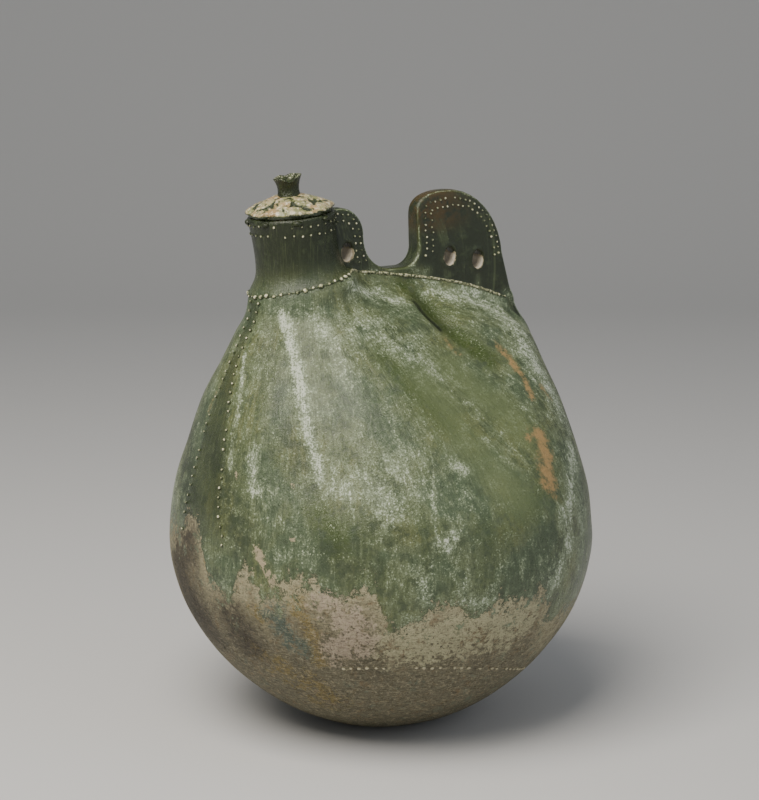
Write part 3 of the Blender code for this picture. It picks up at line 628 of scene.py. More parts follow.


# Where time and the kiln have changed the surface, and where shade and highlights are painted on: a bent line
# and its half width, in millimetres, and its strength
patches = {
    # milky weathering; along the fold that runs down from the neck, also a painted highlight on its ridge
    "pale": [
        ([(-86.5, -22, 277), (-88, -38, 254), (-92, -54.5, 230), (-95.3, -68, 208),
          (-96, -82, 185)], 4.4, 1.3),
        ([(-90, -87, 183), (-84, -95, 181)], 8, 0.9),
        ([(-71, -102, 182), (-66, -112, 165)], 9, 0.9),
        ([(-58, -100, 196), (-52, -112, 184)], 8, 0.65),
        ([(-40, -50, 268), (-20, -60, 250), (0, -70, 240)], 14, 0.6),
        ([(-72, -36, 276), (-66, -60, 250)], 7, 0.6),
        ([(-104, -4, 253), (-110, -12, 237), (-116, -19, 220), (-121, -19, 207), (-126, -23, 184)], 2, 0.9),
        ([(-42, -129.6, 148.5), (-32.1, -131.1, 153.6), (-36.2, -131.9, 145)], 5, 1),
        ([(-54.7, -127.1, 131.2), (-51.4, -128.9, 115.5)], 5, 0.8),
        ([(-29.9, -135.9, 120), (-27.3, -136.3, 126)], 4, 0.9),
        ([(-20, -113.3, 191.2), (-13.3, -115.4, 188.3)], 4.5, 1),
        ([(-40, -28, 293), (-18, -18, 286), (-4, -23, 280)], 7, 0.8),
        ([(-93, -8, 274), (-100, -12, 259), (-105, -27, 239)], 5, 0.25),
        ([(-119, -38, 194), (-122, -45, 176)], 5, 0.9),
        ([(-28, -136, 112), (-8, -138, 108)], 7, 0.5),
        ([(63, -11, 276), (82, -18, 264), (84, -43, 245)], 14, 0.95),
        ([(84, -43, 245), (90, -57, 224), (93, -69, 206)], 15, 1.05),
        ([(89, -88, 183), (72, -112, 165), (62, -121, 150), (57, -126, 132)], 9, 1),
        ([(57, -126, 130), (48.3, -130.5, 122), (44, -131.5, 113.8)], 8, 1),
        ([(82, -108, 150), (78, -115, 125)], 9, 0.5),
        ([(20, -12, 284), (48, -16, 277)], 8, 0.8),
        (scratch, 1, 1),
        ([(-118, 60, 150), (-80, 104, 140), (-20, 132, 150)], 24, 0.7),
        ([(40, 70, 235), (70, 80, 205), (60, 110, 160)], 22, 0.7),
        ([(-60, 60, 250), (-40, 90, 215)], 16, 0.6),
    ],
    # darker in broad patches, most on the left side and low on the front
    "deep": [
        ([(-118, 43, 190), (-130, 28, 169), (-137, 2, 149)], 17, 0.9),
        ([(-126, -4, 194), (-131, -25, 167), (-130, -43, 145)], 16, 0.75),
        ([(-99, -96, 143), (-81, -112, 132)], 14, 0.6),
        ([(-80, -110, 158), (-60, -121, 150)], 12, 0.45),
        ([(20, -134, 120), (40, -128, 130)], 16, 0.4),
        ([(-54, -126, 140), (-16, -135, 149), (3.8, -138.6, 128), (30, -134, 142)], 20, 0.36),
        ([(-60, -98, 212), (-50, -90, 225)], 14, 0.25),
        ([(98, -60, 200), (110, -52, 178)], 10, 0.6),
        ([(-97, -18, 262), (-103, -36, 235), (-105, -58, 205), (-101, -78, 180)], 10, 0.5),
        ([(100, 70, 150), (60, 115, 130)], 24, 0.6),
    ],
    # glaze kept clear and green
    "clean": [
        ([(13, -9.5, 289), *dent, (44, -56.6, 243.7)], 9, 1.25),
        ([(-36, -60, 253), (-30, -79, 234), (-18, -94, 216)], 13, 0.7),
        ([(-100, -88, 165), (-94, -98, 150)], 12, 0.8),
        ([(-10, -125, 150), (25, -125, 160), (45, -112, 172)], 15, 0.7),
        ([(20, 90, 220), (-30, 100, 200)], 22, 0.6),
    ],
    # glaze lying thin and even
    "calm": [
        ([(-14.9, -73, 237.4), (-11, -89.2, 220.8), (-5.7, -103.4, 203.9), (4.3, -116, 186.2),
          (19.1, -127.2, 167.6)], 17, 0.9),
        ([(8.6, -66.1, 240.2), (28.4, -81.8, 221.5), (40.7, -97.1, 203.6)], 17, 0.9),
        ([(60, 90, 225), (80, 85, 190)], 24, 0.7),
    ],
    # glaze run thin
    "ochre": [
        ([(44.6, -100.4, 199.2), (52, -98, 199.9)], 3.4, 0.8),
        ([(54, -98.4, 197.5), (55.5, -102.3, 192.4), (54.5, -106.2, 187.5), (50, -112.4, 181),
          (48.3, -116.8, 174.4), (50, -118.5, 170.5)], 7.5, 0.95),
        ([(57.4, -48.6, 248.9), (61.9, -54.6, 241.5), (64.8, -60.5, 234.9), (66.5, -66, 229.1),
          (65.5, -71.7, 223.6), (64.6, -76.2, 219.2)], 3.8, 0.8),
        ([(79.8, -66.5, 221.9), (85.2, -69.2, 214.5)], 3, 0.65),
        ([(17, -50.5, 256), (22, -55.7, 248.8)], 4, 0.5),
        ([(-115, 13, 232), (-122, 16, 212), (-127, 19, 195)], 2.5, 0.65),
        ([(30, 110, 190), (34, 118, 172)], 6, 0.7),
    ],
    # flakes where the glaze has come off
    "raw": [
        ([(-126, -56, 141), (-126, -60, 132), (-122, -66, 123)], 3.6, 0.8),
        ([(-124, -52, 128), (-120, -60, 118)], 4.5, 0.7),
        ([(-125, -30, 181), (-125, -29, 183)], 2.2, 0.75),
        ([(-113, -76, 150), (-113, -75, 151)], 2, 0.75),
        ([(-108, -68, 181), (-109, -67, 181)], 1.7, 0.7),
        ([(-50, -128, 150), (-49, -128, 151)], 1.8, 0.7),
        ([(2, -122, 166), (3, -122, 166)], 1.4, 0.7),
    ],
    # painted shade: the shadowed bottom of the finger's dent and the shadow line under its fold
    "shade": [
        ([(19, -16, 280), (22, -23, 276), (23, -31.5, 271), (26.1, -40.6, 264.9)], 6.5, 0.42),
        ([(13.2, -22.1, 278.3), (13.1, -27, 275.7), (13.4, -32.4, 272.9), (13.9, -37.3, 270),
          (15.3, -40.9, 266.8), (17.5, -43.4, 263.4)], 2.5, 1.3),
    ],
    # pale runs on the crest: weathering, and on the saddle's top a painted highlight
    "bloomAndHighlight": [
        ([(2, -9, 293), (19, -9, 294), (31, -9, 294)], 5, 0.8),
        ([(71.4, -9, 287), (71.4, -9, 281)], 2.6, 0.9),
        ([(94, -8, 274), (100, -7, 270)], 4, 0.6), ([(-14, -9, 297), (0, -9, 296)], 4, 0.7),
        ([(10, 9, 293), (28, 9, 294)], 5, 0.6),
    ],
    # stains on the bare clay
    "chalk": [
        ([(-61.7, -116.1, 85.6), (-45, -124.5, 88), (-27.7, -130.9, 92), (-7, -133.5, 92),
          (16, -132.6, 92)], 17, 1.15),
        ([(70, 100, 92), (20, 122, 90)], 14, 0.7),
    ],
    "teal": [
        ([(-120.9, -64.1, 103), (-116.9, -66.8, 94.8), (-112.1, -68.1, 84.7), (-106.1, -72.3, 78.4)], 9, 1),
        ([(-118, 70, 110), (-100, 92, 98)], 14, 0.8),
        ([(40, -110, 75), (60, -105, 85)], 10, 0.3),
    ],
    "rosy": [
        ([(-97, -99, 113), (-88, -104, 101), (-83, -102, 88), (-92, -91, 81)], 12, 1),
        ([(-104, -91, 111), (-93, -103, 116)], 8, 0.8),
        ([(60, 112, 95), (30, 120, 85)], 16, 0.7),
    ],
    "gold": [
        ([(-113, -81, 115), (-111, -81, 106), (-104, -83, 91), (-97, -79, 72)], 7, 0.9),
        ([(-127, -53, 104), (-124, -55, 96)], 6, 0.8),
        ([(-136.7, -9.6, 146.3), (-137.4, -13.2, 136.3), (-138.2, -14.3, 127),
          (-137.9, -17.3, 118)], 5.5, 0.8),
        ([(-94, -59, 51), (-80, -60, 40)], 16, 0.7),
        ([(-105, -50, 60), (-112, -40, 70)], 12, 0.6),
    ],
    "brown": [
        ([(-137, 15, 132), (-135, 28, 115), (-134, 20, 95), (-126, 10, 78)], 20, 1),
        ([(-132, -30, 95), (-120, -35, 75)], 16, 0.9),
        ([(90, 60, 70), (40, 95, 60)], 24, 0.6),
    ],
}


# How the glaze lies: dark on the neck, crest and seam, amber on the rear lug, worn on the crest's edges
# Painted in with it: shade high on the neck under the lid, a highlight on the crest's edges and saddle, light
# and shade in the holes
cover = {
    "streakAround": 0.11, "streakDown": 0.2,    # stretch of the noise that runs down from the neck
    "neckDark": 0.45, "neckDarker": 0.53, "neckDarkens": (mm, 26 * mm), "crestDark": 0.92, "seamDark": 0.5,
    "amberFrom": (312 * mm, 330 * mm), "amberX": 36 * mm, "amberHalf": 26 * mm,
    "edgeWorn": (0.5, 1.2), "edgePaleAndHighlight": 0.75, "bloomAndHighlightPale": 0.7, "wornLoss": 0.8,
    "holeSide": 8 * mm, "holeLit": (3.9 * mm, 1.0 * mm), "holeEdge": (1.0 * mm, 0.2 * mm),
}
# The masks that the glaze's material reads; the crest's pale runs and painted highlight only go into others
stored = ["rise", "dark", "amber", *(name for name in patches if name != "bloomAndHighlight")]


def patchShare(points, name):
    return np.max([strength * np.exp(-(lineDistance(points, line)[0] / (halfWidth * mm)) ** 2)
                   for line, halfWidth, strength in patches[name]], axis=0)


def glazeMasks(points, neckShare, crestShare, hollow):
    # what the glaze's material reads at each point
    x, y, z = points.T
    turn, away, c = np.degrees(np.arctan2(y, x)) % 360, neckTurn(points), cover
    edge = np.interp(turn, *np.array(glazeEdge, float).T) * mm
    # stretched along the way down from the neck, so that noise read here runs in streaks
    slant = np.sqrt((x + body["neckOffset"]) ** 2 + y ** 2 + (z - body["seatHeight"]) ** 2)
    around = c["streakAround"]
    drape = np.stack([around * np.cos(away), around * np.sin(away), c["streakDown"] * slant], 1)
    # the crest's edges: worn glaze, and a painted highlight along their rounding
    onEdge = np.minimum(outlineDistance(x, z, crestLine), np.abs(y) - crestHalf(z)) + crest["round"]
    worn = crestShare * smoothStep(*c["edgeWorn"], onEdge * 1.7 / crest["round"])
    # pale runs on the crest, with the painted highlight on the saddle
    bloomAndHighlight = patchShare(points, "bloomAndHighlight") * crestShare
    pale = patchShare(points, "pale") * (1 - neckShare) * (1 - crestShare)
    pale = np.maximum(np.maximum(pale, c["edgePaleAndHighlight"] * worn), c["bloomAndHighlightPale"] * bloomAndHighlight)
    amber = crestShare * smoothStep(*c["amberFrom"], z) * np.exp(-((x - c["amberX"]) / c["amberHalf"]) ** 2)
    # darker up the neck: dark glaze, and painted shade under the lid
    height = neckPlace(x, y, z)[2]
    dark = (c["neckDark"] + c["neckDarker"] * smoothStep(*c["neckDarkens"], height)) * neckShare
    dark = np.maximum(np.maximum(dark, c["crestDark"] * crestShare), c["seamDark"] * seamShare(points))
    dark = dark * (1 - c["wornLoss"] * np.maximum(worn, bloomAndHighlight))
    # painted light and shade in each suspension hole: the lower half as lit bare clay, the upper half as
    # painted shade in the dark glaze
    bored = crestShare * smoothStep(*c["holeEdge"], holeDistance(x, z))
    below = np.max([smoothStep(*c["holeLit"], z - body["seatHeight"] - up) * (np.abs(x - at) < c["holeSide"])
                    for at, up, _ in crest["holes"]], axis=0)
    dark = np.maximum(dark, bored * (1 - below))
    raw = np.where(hollow, 1, np.maximum(patchShare(points, "raw"), bored * below))
    masks = {"drape": drape, "rise": (z - edge) / mm, "pale": pale, "dark": dark, "amber": amber, "raw": raw}
    masks.update({name: patchShare(points, name) for name in stored if name not in masks})
    masks["brown"] = np.where(hollow, 1, masks["brown"])
    return masks


def storeMasks(mesh, masks):
    for name, values in masks.items():
        kind, field = ("FLOAT_VECTOR", "vector") if values.ndim == 2 else ("FLOAT", "value")
        mesh.attributes.new(name, kind, "POINT").data.foreach_set(field, np.ravel(values))


def thinned(name, mesh, points):
    # drops most faces of the hollow, which only shows through the mouth
    hollow = partShares(points)[2] & (neckPlace(*points.T)[2] < -neck["sinks"])
    rough = bpy.data.objects.new("rough", mesh)
    bpy.context.scene.collection.objects.link(rough)
    rough.vertex_groups.new(name="hollow").add([int(n) for n in np.nonzero(hollow)[0]], 1, "REPLACE")
    thin = rough.modifiers.new("thin", "DECIMATE")
    thin.ratio = 1 - hollow.mean() * (1 - grid["hiddenShare"])
    thin.vertex_group, thin.vertex_group_factor = "hollow", 1
    made = bpy.data.meshes.new_from_object(rough.evaluated_get(bpy.context.evaluated_depsgraph_get()))
    bpy.data.objects.remove(rough)
    made.name = name
    return made


def buildFlask():
    points, quads = flaskMesh()
    mesh = thinned("flask_body", meshFromArrays("rough", points, quads), points)
    points = pointsOf(mesh)
    shares = partShares(points)
    storeMasks(mesh, glazeMasks(points, *shares))
    slope = slopeOf(flaskField, points)[1]
    outward = slope / np.maximum(np.linalg.norm(slope, axis=1), 0.3)[:, None]
    outward[shares[2]] *= -1
    points = points + handwork(points, *shares)[:, None] * outward
    points[:, 2] = np.maximum(points[:, 2], 0)
    movePoints(mesh, points)
    return pieceFromMesh("flask_body", mesh)


flask = buildFlask()
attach(flask, "flask")
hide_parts("lower_bag", "upper_bag", "neck", "front_lug", "saddle", "rear_lug")
print("flask body:", len(flask.data.vertices), "points")


# Materials: a green lead glaze, long buried, over a coarse buff clay

def newMaterial(name):
    material = bpy.data.materials.new(name)
    material.use_nodes = True
    material.node_tree.nodes.clear()
    return material, material.node_tree


def finished(tree, colour, roughness, height, coat=0.0):
    # height in millimetres
    bump = addNode(tree, "ShaderNodeBump", {"Height": height, "Distance": mm, "Strength": 1.0})
    shader = addNode(tree, "ShaderNodeBsdfPrincipled", {
        "Base Color": colour, "Roughness": roughness, "Normal": bump, "Coat Weight": coat,
        "Coat Roughness": 0.15, "IOR": 1.5})
    addNode(tree, "ShaderNodeOutputMaterial", {"Surface": shader})


def readings(tree, patterns, masks=()):
    # patterns by name: what they follow, size in mm, detail, roughness, bend; each runs about -2 to 2
    found = {"tree": tree, "object": addNode(tree, "ShaderNodeTexCoord").outputs["Object"]}
    found["drape"] = addNode(tree, "ShaderNodeAttribute", attribute_name="drape").outputs["Vector"]
    found["level"] = addNode(tree, "ShaderNodeMapping",
                             {"Vector": found["object"], "Rotation": (0.25, 0.2, 0), "Scale": (1, 1, 6)})
    for name in masks:
        found[name] = addNode(tree, "ShaderNodeAttribute", attribute_name=name).outputs["Fac"]
    for name, (follows, size, detail, rough, bend) in patterns.items():
        noise = addNode(tree, "ShaderNodeTexNoise", {
            "Vector": found[follows], "Scale": 1 / (size * mm), "Detail": detail, "Roughness": rough,
            "Distortion": bend})
        found[name] = addNode(tree, "ShaderNodeMapRange", {
            "Value": noise, "From Min": 0.37, "From Max": 0.63, "To Min": -2.0, "To Max": 2.0}, clamp=False)
    return found


def weighed(found, start, *parts):
    # a start value plus each signal times its weight; a signal is named, or given
    for signal, weight in parts:
        start = addNode(found["tree"], "ShaderNodeMath", {0: found.get(signal, signal), 1: weight, 2: start},
                        operation="MULTIPLY_ADD")
    return start


def steps(found, how, *stages):
    # each stage is a signal, where it starts, where it is full and its greatest share; how joins them
    total = None
    for signal, start, full, most in stages:
        share = addNode(found["tree"], "ShaderNodeMapRange", {
            "Value": found.get(signal, signal), "From Min": start, "From Max": full, "To Max": most},
            interpolation_type="SMOOTHSTEP")
        if total:
            share = addNode(found["tree"], "ShaderNodeMath", {0: total, 1: share}, operation=how)
        total = share
    return total


def layered(found, colour, layers):
    # lays each colour over those before it, as far as all its stages allow
    for over, *stages in layers:
        share = steps(found, "MULTIPLY", *stages)
        over = linear(over) if isinstance(over, str) else over
        colour = addNode(found["tree"], "ShaderNodeMix", {0: share, 6: colour, 7: over}, data_type="RGBA",
                         clamp_factor=True).outputs[2]
    return colour


clayPatterns = {
    "wide": ("object", 30, 4, 0.6, 0), "spots": ("object", 8, 8, 0.72, 0.4),
    "fine": ("object", 1.3, 4, 0.7, 0), "grit": ("object", 2.6, 6, 0.75, 0),
    "wiped": ("level", 5, 5, 0.7, 0.5),
}
clayStains = {"chalk": "c0bc96", "brown": "443c2e", "gold": "8c7a41", "rosy": "c0ae98", "teal": "4f6359"}


def clayColour(found, over):
    # paler towards the glaze's edge and darker towards the bottom, the darkening low down painted shade;
    # scratched, gritty, and stained by the ground
    colour = layered(found, linear("757058"), [
        ("67624c", ("wide", 0, 1.2, 0.7)),
        ("b7af8b", (weighed(found, over, ("spots", 4)), -38, 4, 0.9)),
        ("6f7a66", ("spots", 0.9, 2, 0.75)),
        ("8a7450", ("spots", -0.9, -2, 0.6)),
    ])
    for name, code in clayStains.items():
        stain = weighed(found, 0, (name, 3), ("spots", 0.9), ("grit", 0.7))
        colour = layered(found, colour, [(code, (stain, 1.2, 2.4, 0.85), (name, 0.05, 0.3, 1))])
    return layered(found, colour, [
        ("aaa182", ("wiped", 0.5, 1.8, 0.55)),
        ("4a4432", ("wiped", -0.5, -1.8, 0.55)),
        ("b6ad8e", ("grit", 0.9, 1.8, 0.65)),
        ("423d2c", ("grit", -0.9, -1.8, 0.5)),
        ("3b3728", ("fine", -0.9, -2, 0.5)),
        ("3a3426", ("brown", 0.1, 0.9, 0.6)),
    ])


def glazeMaterial():
    # gives the eye a mottled olive skin with pale weathering, that breaks off over bare clay
    material, tree = newMaterial("copper-green lead glaze on buff clay, weathered in the ground")
    found = readings(tree, {
        "streak": ("drape", 6, 5, 0.62, 0.4), "thin": ("drape", 2.2, 5, 0.7, 0.5),
        "cloud": ("object", 42, 4, 0.55, 0), "mottle": ("object", 9, 8, 0.7, 0),
        "speck": ("object", 2.2, 5, 0.75, 0), "dust": ("object", 1.1, 3, 0.7, 0),
        "coarse": ("object", 18, 7, 0.7, 0.3), "lace": ("object", 6, 7, 0.75, 0.5), **clayPatterns,
    }, stored)
    green = layered(found, linear("56613f"), [
        ("667050", ("streak", -1, 1.5, 0.8)),
        ("47573f", ("cloud", 0, 1.4, 0.75)),
        ("666a3b", ("cloud", -0.2, -1.5, 0.6), ("streak", -1.5, 0.5, 1)),
        ("3c4832", ("mottle", -0.2, -1.8, 0.65)),
        ("758060", ("thin", 0.4, 1.8, 0.4)),
        ("39432c", ("thin", -0.4, -1.8, 0.4)),
        ("3b4a1b", ("clean", 0, 1, 0.95), ("mottle", -2, 0.5, 1)),
        ("2f3a26", ("deep", 0, 1, 0.9), ("mottle", 2, -0.5, 1)),
        ("212914", ("dark", 0, 1, 1)),
        ("3b452a", ("dark", 0, 1, 0.6), ("mottle", 0.3, 1.8, 1)),
        ("57623f", ("dark", 0, 1, 0.4), ("thin", 0.6, 2, 1)),
        ("423412", ("amber", 0, 1, 0.95), ("mottle", -2, 0.6, 1)),
    ])
    # weathering: a milky crust in patches and streaks, and flecks everywhere
    crust = weighed(found, 0, ("pale", 2.5), ("mottle", 0.5), ("thin", 0.45), ("speck", 0.55), ("dust", 0.5),
                    ("clean", -1.6), ("deep", -1.2), ("dark", -2.6))
    haze = weighed(found, 0, ("pale", 1.7), ("mottle", 0.5), ("clean", -1), ("deep", -0.9), ("dark", -1.5))
    ochre = weighed(found, 0, ("ochre", 3), ("mottle", 0.55), ("speck", 0.4))
    green = layered(found, green, [
        ("7a8669", (haze, -0.3, 2.0, 0.65)),
        ("8c987b", (crust, 0.9, 2.3, 0.6)),
        ("aeb9a3", (crust, 2.4, 3.0, 0.85)),
        ("c9cebd", (crust, 3.2, 3.7, 0.8)),
        ("a9b397", ("dust", 1.4, 1.9, 0.7), ("mottle", -0.5, 1.5, 1), ("dark", 0.5, 0, 1)),
        ("2f3923", ("dust", -1.2, -1.9, 0.55)),
        ("5d6943", ("calm", 0, 1, 0.7)),
        # painted shade in the finger's dent
        ("1e2613", ("shade", 0, 1, 1)),
        # where the glaze has run thin it turns to ochre
        ("80714a", (ochre, 0.5, 2.1, 0.75), ("ochre", 0.05, 0.3, 1)),
        ("9e8153", (ochre, 1.5, 3.0, 0.85), ("ochre", 0.1, 0.3, 1)),
    ])
    # the glaze ends in a ragged line; flakes are missing above it and specks stay below it
    over = weighed(found, found["rise"], ("coarse", 3.8), ("lace", 5.2), ("speck", 1.2))
    islands = weighed(found, 0, ("mottle", 1), ("speck", 0.6))
    gaps = weighed(found, 0, ("lace", 1), ("speck", 0.6))
    below = steps(found, "MULTIPLY", (islands, 1.1, 1.25, 1), (over, -30, -4, 1))
    missing = steps(found, "MULTIPLY", (gaps, 0.9, 1.05, 1), (over, 12, 2, 1))
    glazed = steps(found, "MAXIMUM", (over, -0.3, 0.3, 1), (below, 0, 1, 0.9))
    glazed = steps(found, "SUBTRACT", (glazed, 0, 1, 1), (missing, 0, 1, 1))
    flaked = weighed(found, 0, ("raw", 3), ("mottle", 0.8), ("speck", 0.5))
    flaked = steps(found, "MULTIPLY", (flaked, 1.6, 1.8, 1), ("raw", 0.1, 0.25, 1))
    bare = steps(found, "MAXIMUM", (glazed, 1, 0, 1), (flaked, 0, 1, 1))
    green = layered(found, green, [("333e2b", (over, 0.2, 1.2, 0.65), (over, 5, 1.6, 1))])
    buff = layered(found, clayColour(found, over), [
        ("c4bb97", (over, -7, -1, 0.6), ("speck", -1.5, 1, 1)),
        ("b3a587", ("raw", 0.2, 0.6, 0.8), ("brown", 0.9, 0.5, 1)),
        # painted light: the lit lower halves of the suspension holes, bright cream
        ("e6dcc8", ("raw", 0.85, 1, 0.95), ("brown", 0.9, 0.5, 1)),
    ])
    colour = layered(found, green, [(buff, (bare, 0, 1, 1))])
    matt = steps(found, "ADD", (crust, 0.5, 2.5, 0.3), (bare, 0, 1, 0.34))
    shine = weighed(found, 0.30, (matt, 1), ("speck", 0.02), ("dark", -0.1))
    grainy = weighed(found, 0, ("fine", 0.05), ("grit", 0.07), ("wiped", 0.06))
    height = weighed(found, 0, (glazed, 0.35), ("mottle", 0.035), ("speck", 0.03), ("thin", 0.02),
                     (bare, grainy))
    finished(tree, colour, shine, height)
    return material


def beadMaterial():
    # gives the eye small pale dots: the glaze has worn off the beads' tops
    material, tree = newMaterial("copper-green lead glaze, worn off the tops of the beads")
    found = readings(tree, {"mottle": ("object", 1.6, 4, 0.6, 0)}, ["crown", "tone"])
    worn = weighed(found, found["crown"], ("mottle", 0.13), ("tone", 0.35))
    colour = layered(found, linear("353f25"), [
        ("56613f", ("mottle", 0, 1.5, 1)),
        ("a9a983", (worn, 0.70, 0.96, 1)),
        ("ddd8bf", (worn, 0.98, 1.25, 1)),
    ])
    shine = steps(found, "ADD", (worn, -9, -8, 0.3), (worn, 0.6, 1, 0.25))
    finished(tree, colour, shine, weighed(found, 0, ("mottle", 0.03)))
    return material


def clayMaterial():
    # gives the eye a dry, gritty, warm grey-buff
    material, tree = newMaterial("bare buff clay, scraped")
    found = readings(tree, clayPatterns, ["crown", *clayStains])
    colour = layered(found, clayColour(found, -20.0), [("c9c2a3", ("crown", 0.1, 0.8, 0.85))])
    finished(tree, colour, 0.85, weighed(found, 0, ("fine", 0.05), ("grit", 0.07)))
    return material


def petalMaterial():
    # gives the eye glossy cream petals, outlined by green that ran into the grooves
    material, tree = newMaterial("clear lead glaze over white slip, green run into the grooves")
    found = readings(tree, {
        "broad": ("object", 9, 4, 0.6, 0), "mottle": ("object", 2.6, 5, 0.65, 0),
        "fine": ("object", 0.9, 3, 0.6, 0),
    }, ["relief", "reach", "low"])
    groove = weighed(found, found["relief"], ("mottle", 0.2), ("fine", 0.08))
    colour = layered(found, linear("b0a67e"), [
        ("a1865c", ("broad", -0.2, 1.2, 0.9)),
        ("7c8054", ("broad", -0.1, -1.3, 0.9)),
        # paler cream in patches: the slip's own tone, and in part painted highlights
        ("d8d1b7", ("mottle", 0.5, 1.8, 0.8)),
        ("8d7a55", ("fine", 1.0, 2, 0.6)),
        ("646a40", (groove, 0.55, -0.1, 0.9)),
        ("232d17", (groove, 0.12, -0.3, 0.95)),
        ("353f23", ("reach", 0.94, 1, 0.9), ("mottle", 0.4, -0.6, 1)),
        ("2c371e", ("low", 0.7, 0.2, 1)),
    ])
    shine = steps(found, "ADD", ("reach", -2, -1, 0.12), ("mottle", -1, 2, 0.2))
    finished(tree, colour, shine, weighed(found, 0, ("mottle", 0.05), ("fine", 0.015)), 0.3)
    return material


def knobMaterial():
    # gives the eye a dark glossy stem and a chipped, paler lip
    material, tree = newMaterial("copper-green lead glaze, chipped at the lip")
    found = readings(tree, {"mottle": ("object", 3, 5, 0.65, 0), "fine": ("object", 1, 3, 0.6, 0)}, ["wear"])
    worn = weighed(found, found["wear"], ("mottle", 0.05), ("fine", 0.03))
    colour = layered(found, linear("20280f"), [
        ("333d1d", ("mottle", -0.5, 1.5, 0.8)),
        ("47522f", (worn, 0.8, 1.0, 0.7)),
        ("a9b08c", (worn, 0.99, 1.06, 0.9), ("mottle", -0.3, 0.6, 1)),
        ("d0cfb6", ("fine", 0.9, 1.6, 0.9), (worn, 0.85, 1, 1)),
    ])
    shine = steps(found, "ADD", (worn, -9, -8, 0.16), ("mottle", -1, 2, 0.2))
    finished(tree, colour, shine, weighed(found, 0, ("mottle", 0.08)))
    return material


glaze, worn, clay = glazeMaterial(), beadMaterial(), clayMaterial()
petalGlaze, knobGlaze = petalMaterial(), knobMaterial()
print("materials made")


# Geometry Nodes: helpers that build a tree with named inputs and turn its result into a plain mesh

def newTree(name, sockets):
    tree = bpy.data.node_groups.new(name, "GeometryNodeTree")
    tree.interface.new_socket("Geometry", in_out="INPUT", socket_type="NodeSocketGeometry")
    tree.interface.new_socket("Geometry", in_out="OUTPUT", socket_type="NodeSocketGeometry")
    for label, kind in sockets.items():
        tree.interface.new_socket(label, in_out="INPUT", socket_type="NodeSocket" + kind)
    return tree, addNode(tree, "NodeGroupInput").outputs


def dented(tree, geometry, place, size, detail, depth):
    # fingers leave nothing quite even: lumps of this size and depth
    noise = addNode(tree, "ShaderNodeTexNoise", {"Vector": place, "Scale": 1 / size, "Detail": detail})
    shift = addNode(tree, "ShaderNodeVectorMath", {0: noise.outputs["Color"], 1: (0.5, 0.5, 0.5)},
                    operation="SUBTRACT")
    shift = addNode(tree, "ShaderNodeVectorMath", {0: shift, "Scale": depth}, operation="SCALE")
    return addNode(tree, "GeometryNodeSetPosition", {"Geometry": geometry, "Offset": shift})


def closeTree(tree, geometry, material):
    smooth = addNode(tree, "GeometryNodeSetShadeSmooth", {"Geometry": geometry})
    painted = addNode(tree, "GeometryNodeSetMaterial", {"Geometry": smooth, "Material": material})
    addNode(tree, "NodeGroupOutput", {0: painted})


def grown(name, tree, mesh, values):
    # runs the tree on the mesh and keeps the result as a plain mesh
    guide = pieceFromMesh("guide", mesh)
    run = guide.modifiers.new("run", "NODES")
    run.node_group = tree
    for item in tree.interface.items_tree:
        if item.item_type == "SOCKET" and item.in_out == "INPUT" and item.name in values:
            run[item.identifier] = values[item.name]
    made = bpy.data.meshes.new_from_object(guide.evaluated_get(bpy.context.evaluated_depsgraph_get()))
    made.name = name
    bpy.data.objects.remove(guide)
    return pieceFromMesh(name, made)


def guideMesh(name, lines):
    # several open lines as one mesh of edges
    points, edges = [], []
    for line in lines:
        edges += [(len(points) + n, len(points) + n + 1) for n in range(len(line) - 1)]
        points += [tuple(p) for p in line]
    mesh = bpy.data.meshes.new(name)
    mesh.from_pydata(points, edges, [])
    return mesh


def onSurface(line):
    # moves points to the nearest place of the body's field
    points = np.array(line, float)
    for _ in range(6):
        value, slope = slopeOf(flaskField, points)
        points -= (value / np.maximum((slope ** 2).sum(1), 0.1))[:, None] * slope
    return points


# Beads of clay pressed on in rows, as stitches, some rows on a thin roll

